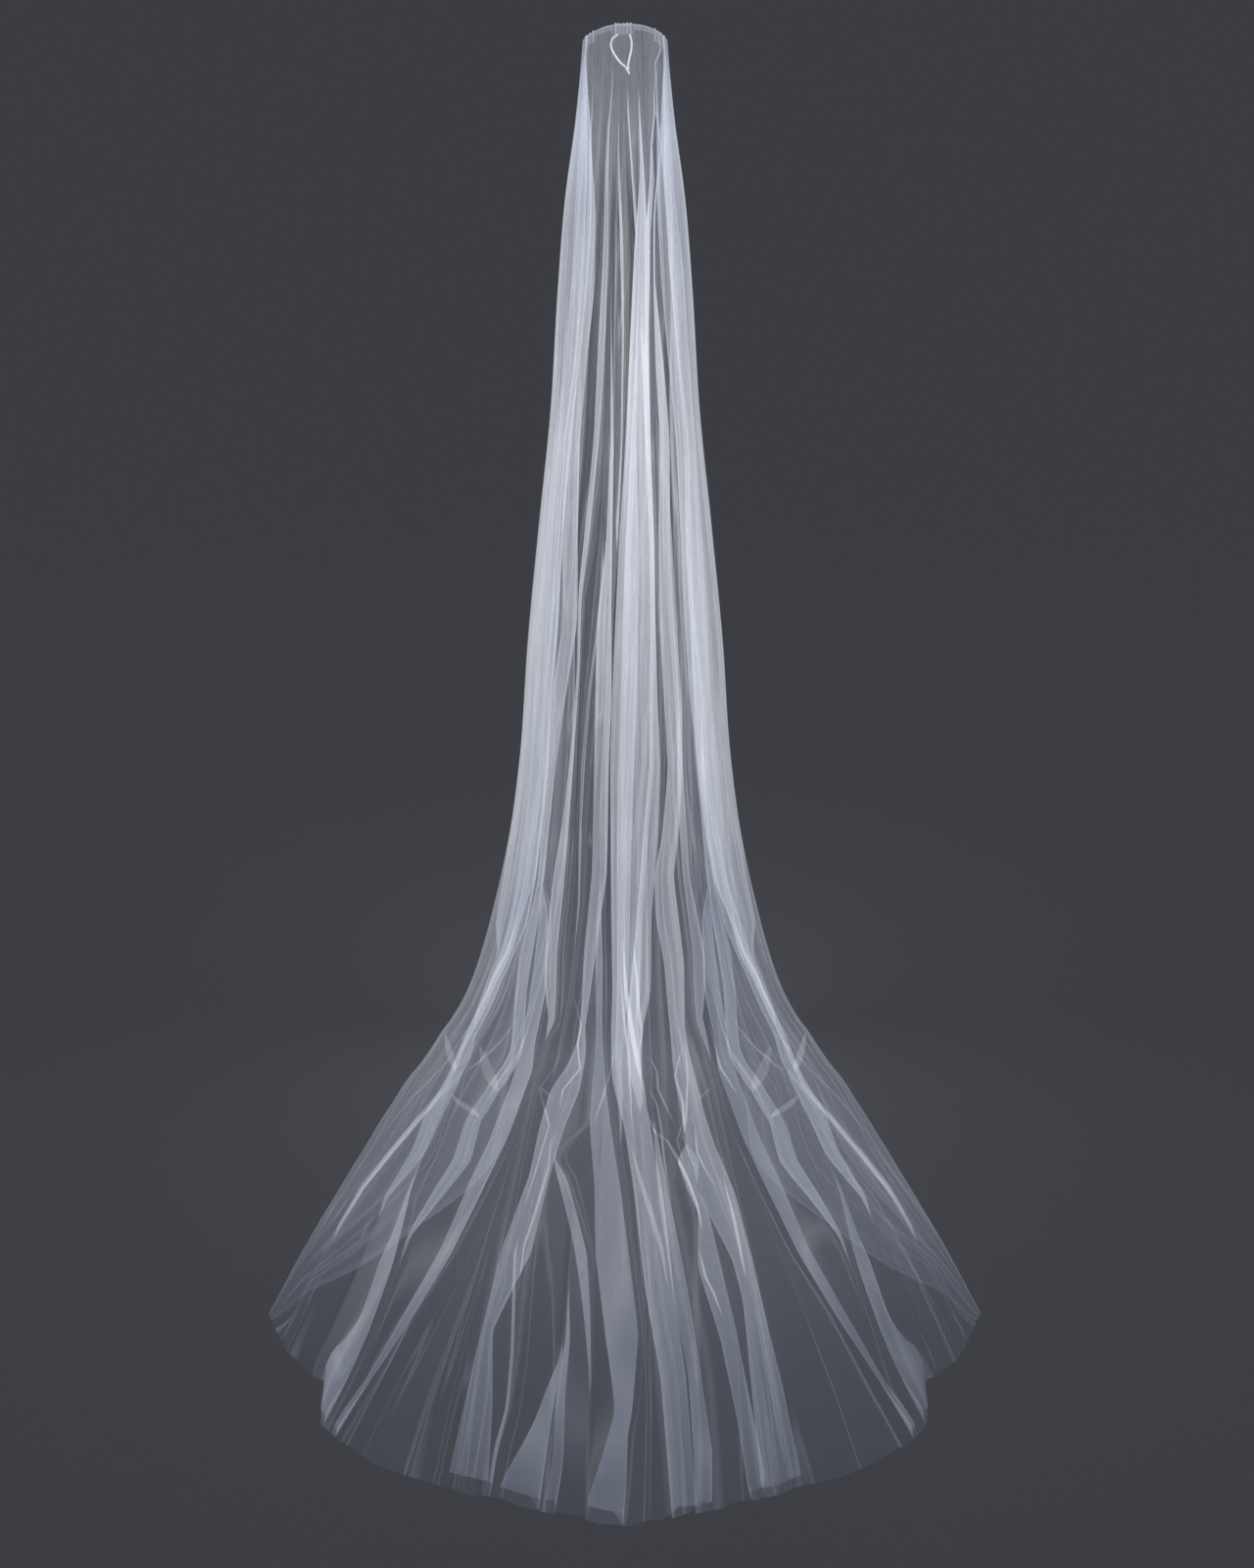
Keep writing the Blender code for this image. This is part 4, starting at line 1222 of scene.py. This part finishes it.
# A lamp: its place, its power and its width.
room = {
    "backdrop": (0.0452, 0.0467, 0.0545),
    "floorColour": (0.74, 0.75, 0.78, 1.0),
    "floorSize": 170.0,
    "floorLight": 0.049,
    "floorLampHeight": 3,
    "lamps": (((-3.2, -6.0, 3.0), 280.0, 4.0), ((3.4, -5.4, 2.2), 205.0, 4.0),
              ((0.0, 4.5, 2.5), 128.0, 4.0)),
    "aim": (0.0, -0.5, -0.9),
}


def lightOnly(name, pieces):
    lit = bpy.data.collections.new(name)
    for piece in pieces:
        lit.objects.link(piece)
    return lit


def makeRoom(pieces):
    world = bpy.data.worlds.new("backdrop")
    bpy.context.scene.world = world
    world.use_nodes = True
    background = world.node_tree.nodes["Background"]
    background.inputs["Color"].default_value = (*room["backdrop"], 1.0)
    background.inputs["Strength"].default_value = 1.0
    size = room["floorSize"] / 2
    corners = [(x * size, y * size, -cloth["crownHeight"]) for x, y in ((-1, -1), (1, -1), (1, 1), (-1, 1))]
    plain = Finish("plainFloor").show({"Base Color": room["floorColour"], "Roughness": 1.0,
                                       "Specular IOR Level": 0.0})
    floor = addPiece("plainFloor", meshFrom("plainFloor", corners, [(0, 1, 2, 3)]), plain)
    lit = lightOnly("veilLit", pieces)
    for k, (place, power, width) in enumerate(room["lamps"]):
        lamp = bpy.data.lights.new(f"softLamp{k}", "AREA")
        lamp.energy = power
        lamp.size = width
        lamp.use_shadow = False     # the net is too open to shade itself
        item = addItem(f"softLamp{k}", lamp)
        item.location = place
        way = np.subtract(room["aim"], place)
        down = math.acos(-way[2] / np.linalg.norm(way))
        item.rotation_euler = (down, 0, math.atan2(way[1], way[0]) - math.pi / 2)
        item.light_linking.receiver_collection = lit
    sun = bpy.data.lights.new("floorLamp", "SUN")
    sun.energy = room["floorLight"]
    item = addItem("floorLamp", sun)
    item.location = (0, 0, room["floorLampHeight"])
    item.light_linking.receiver_collection = lightOnly("floorLit", [floor])


def makeCamera():
    camera = bpy.data.cameras.new("camera")
    camera.lens = view["lens"]
    camera.sensor_width = view["sensor"]
    item = addItem("camera", camera)
    item.location = view["place"]
    item.rotation_euler = (math.radians(90 - view["pitch"]), 0, 0)
    bpy.context.scene.camera = item
    print("camera in place")


def main():
    scene = bpy.context.scene
    scene.view_settings.view_transform = "Standard"
    scene.cycles.transparent_max_bounces = view["layersSeen"]
    makeCamera()
    satin = makeSatin()
    left, right, knot, tail, leftWay, rightWay = makeLoop(satin)
    print("ribbon loop done")
    veil, rows = makeVeil(makeTulle())
    headingPieces = makeHeadingPieces(rows, makeHeadingFinish())
    stitches = makeStitches(rows, satin)
    pieces = [veil, *headingPieces, stitches, left, right, knot, tail]
    for piece in pieces:
        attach(piece, "root")
    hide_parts("veil_panel")
    for piece in headingPieces:
        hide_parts(headingNodes[piece.name])
    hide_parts("loop_strand_left")
    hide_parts("loop_strand_right")
    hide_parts("loop_knot")
    makeRoom(pieces)
    print("room done")


main()
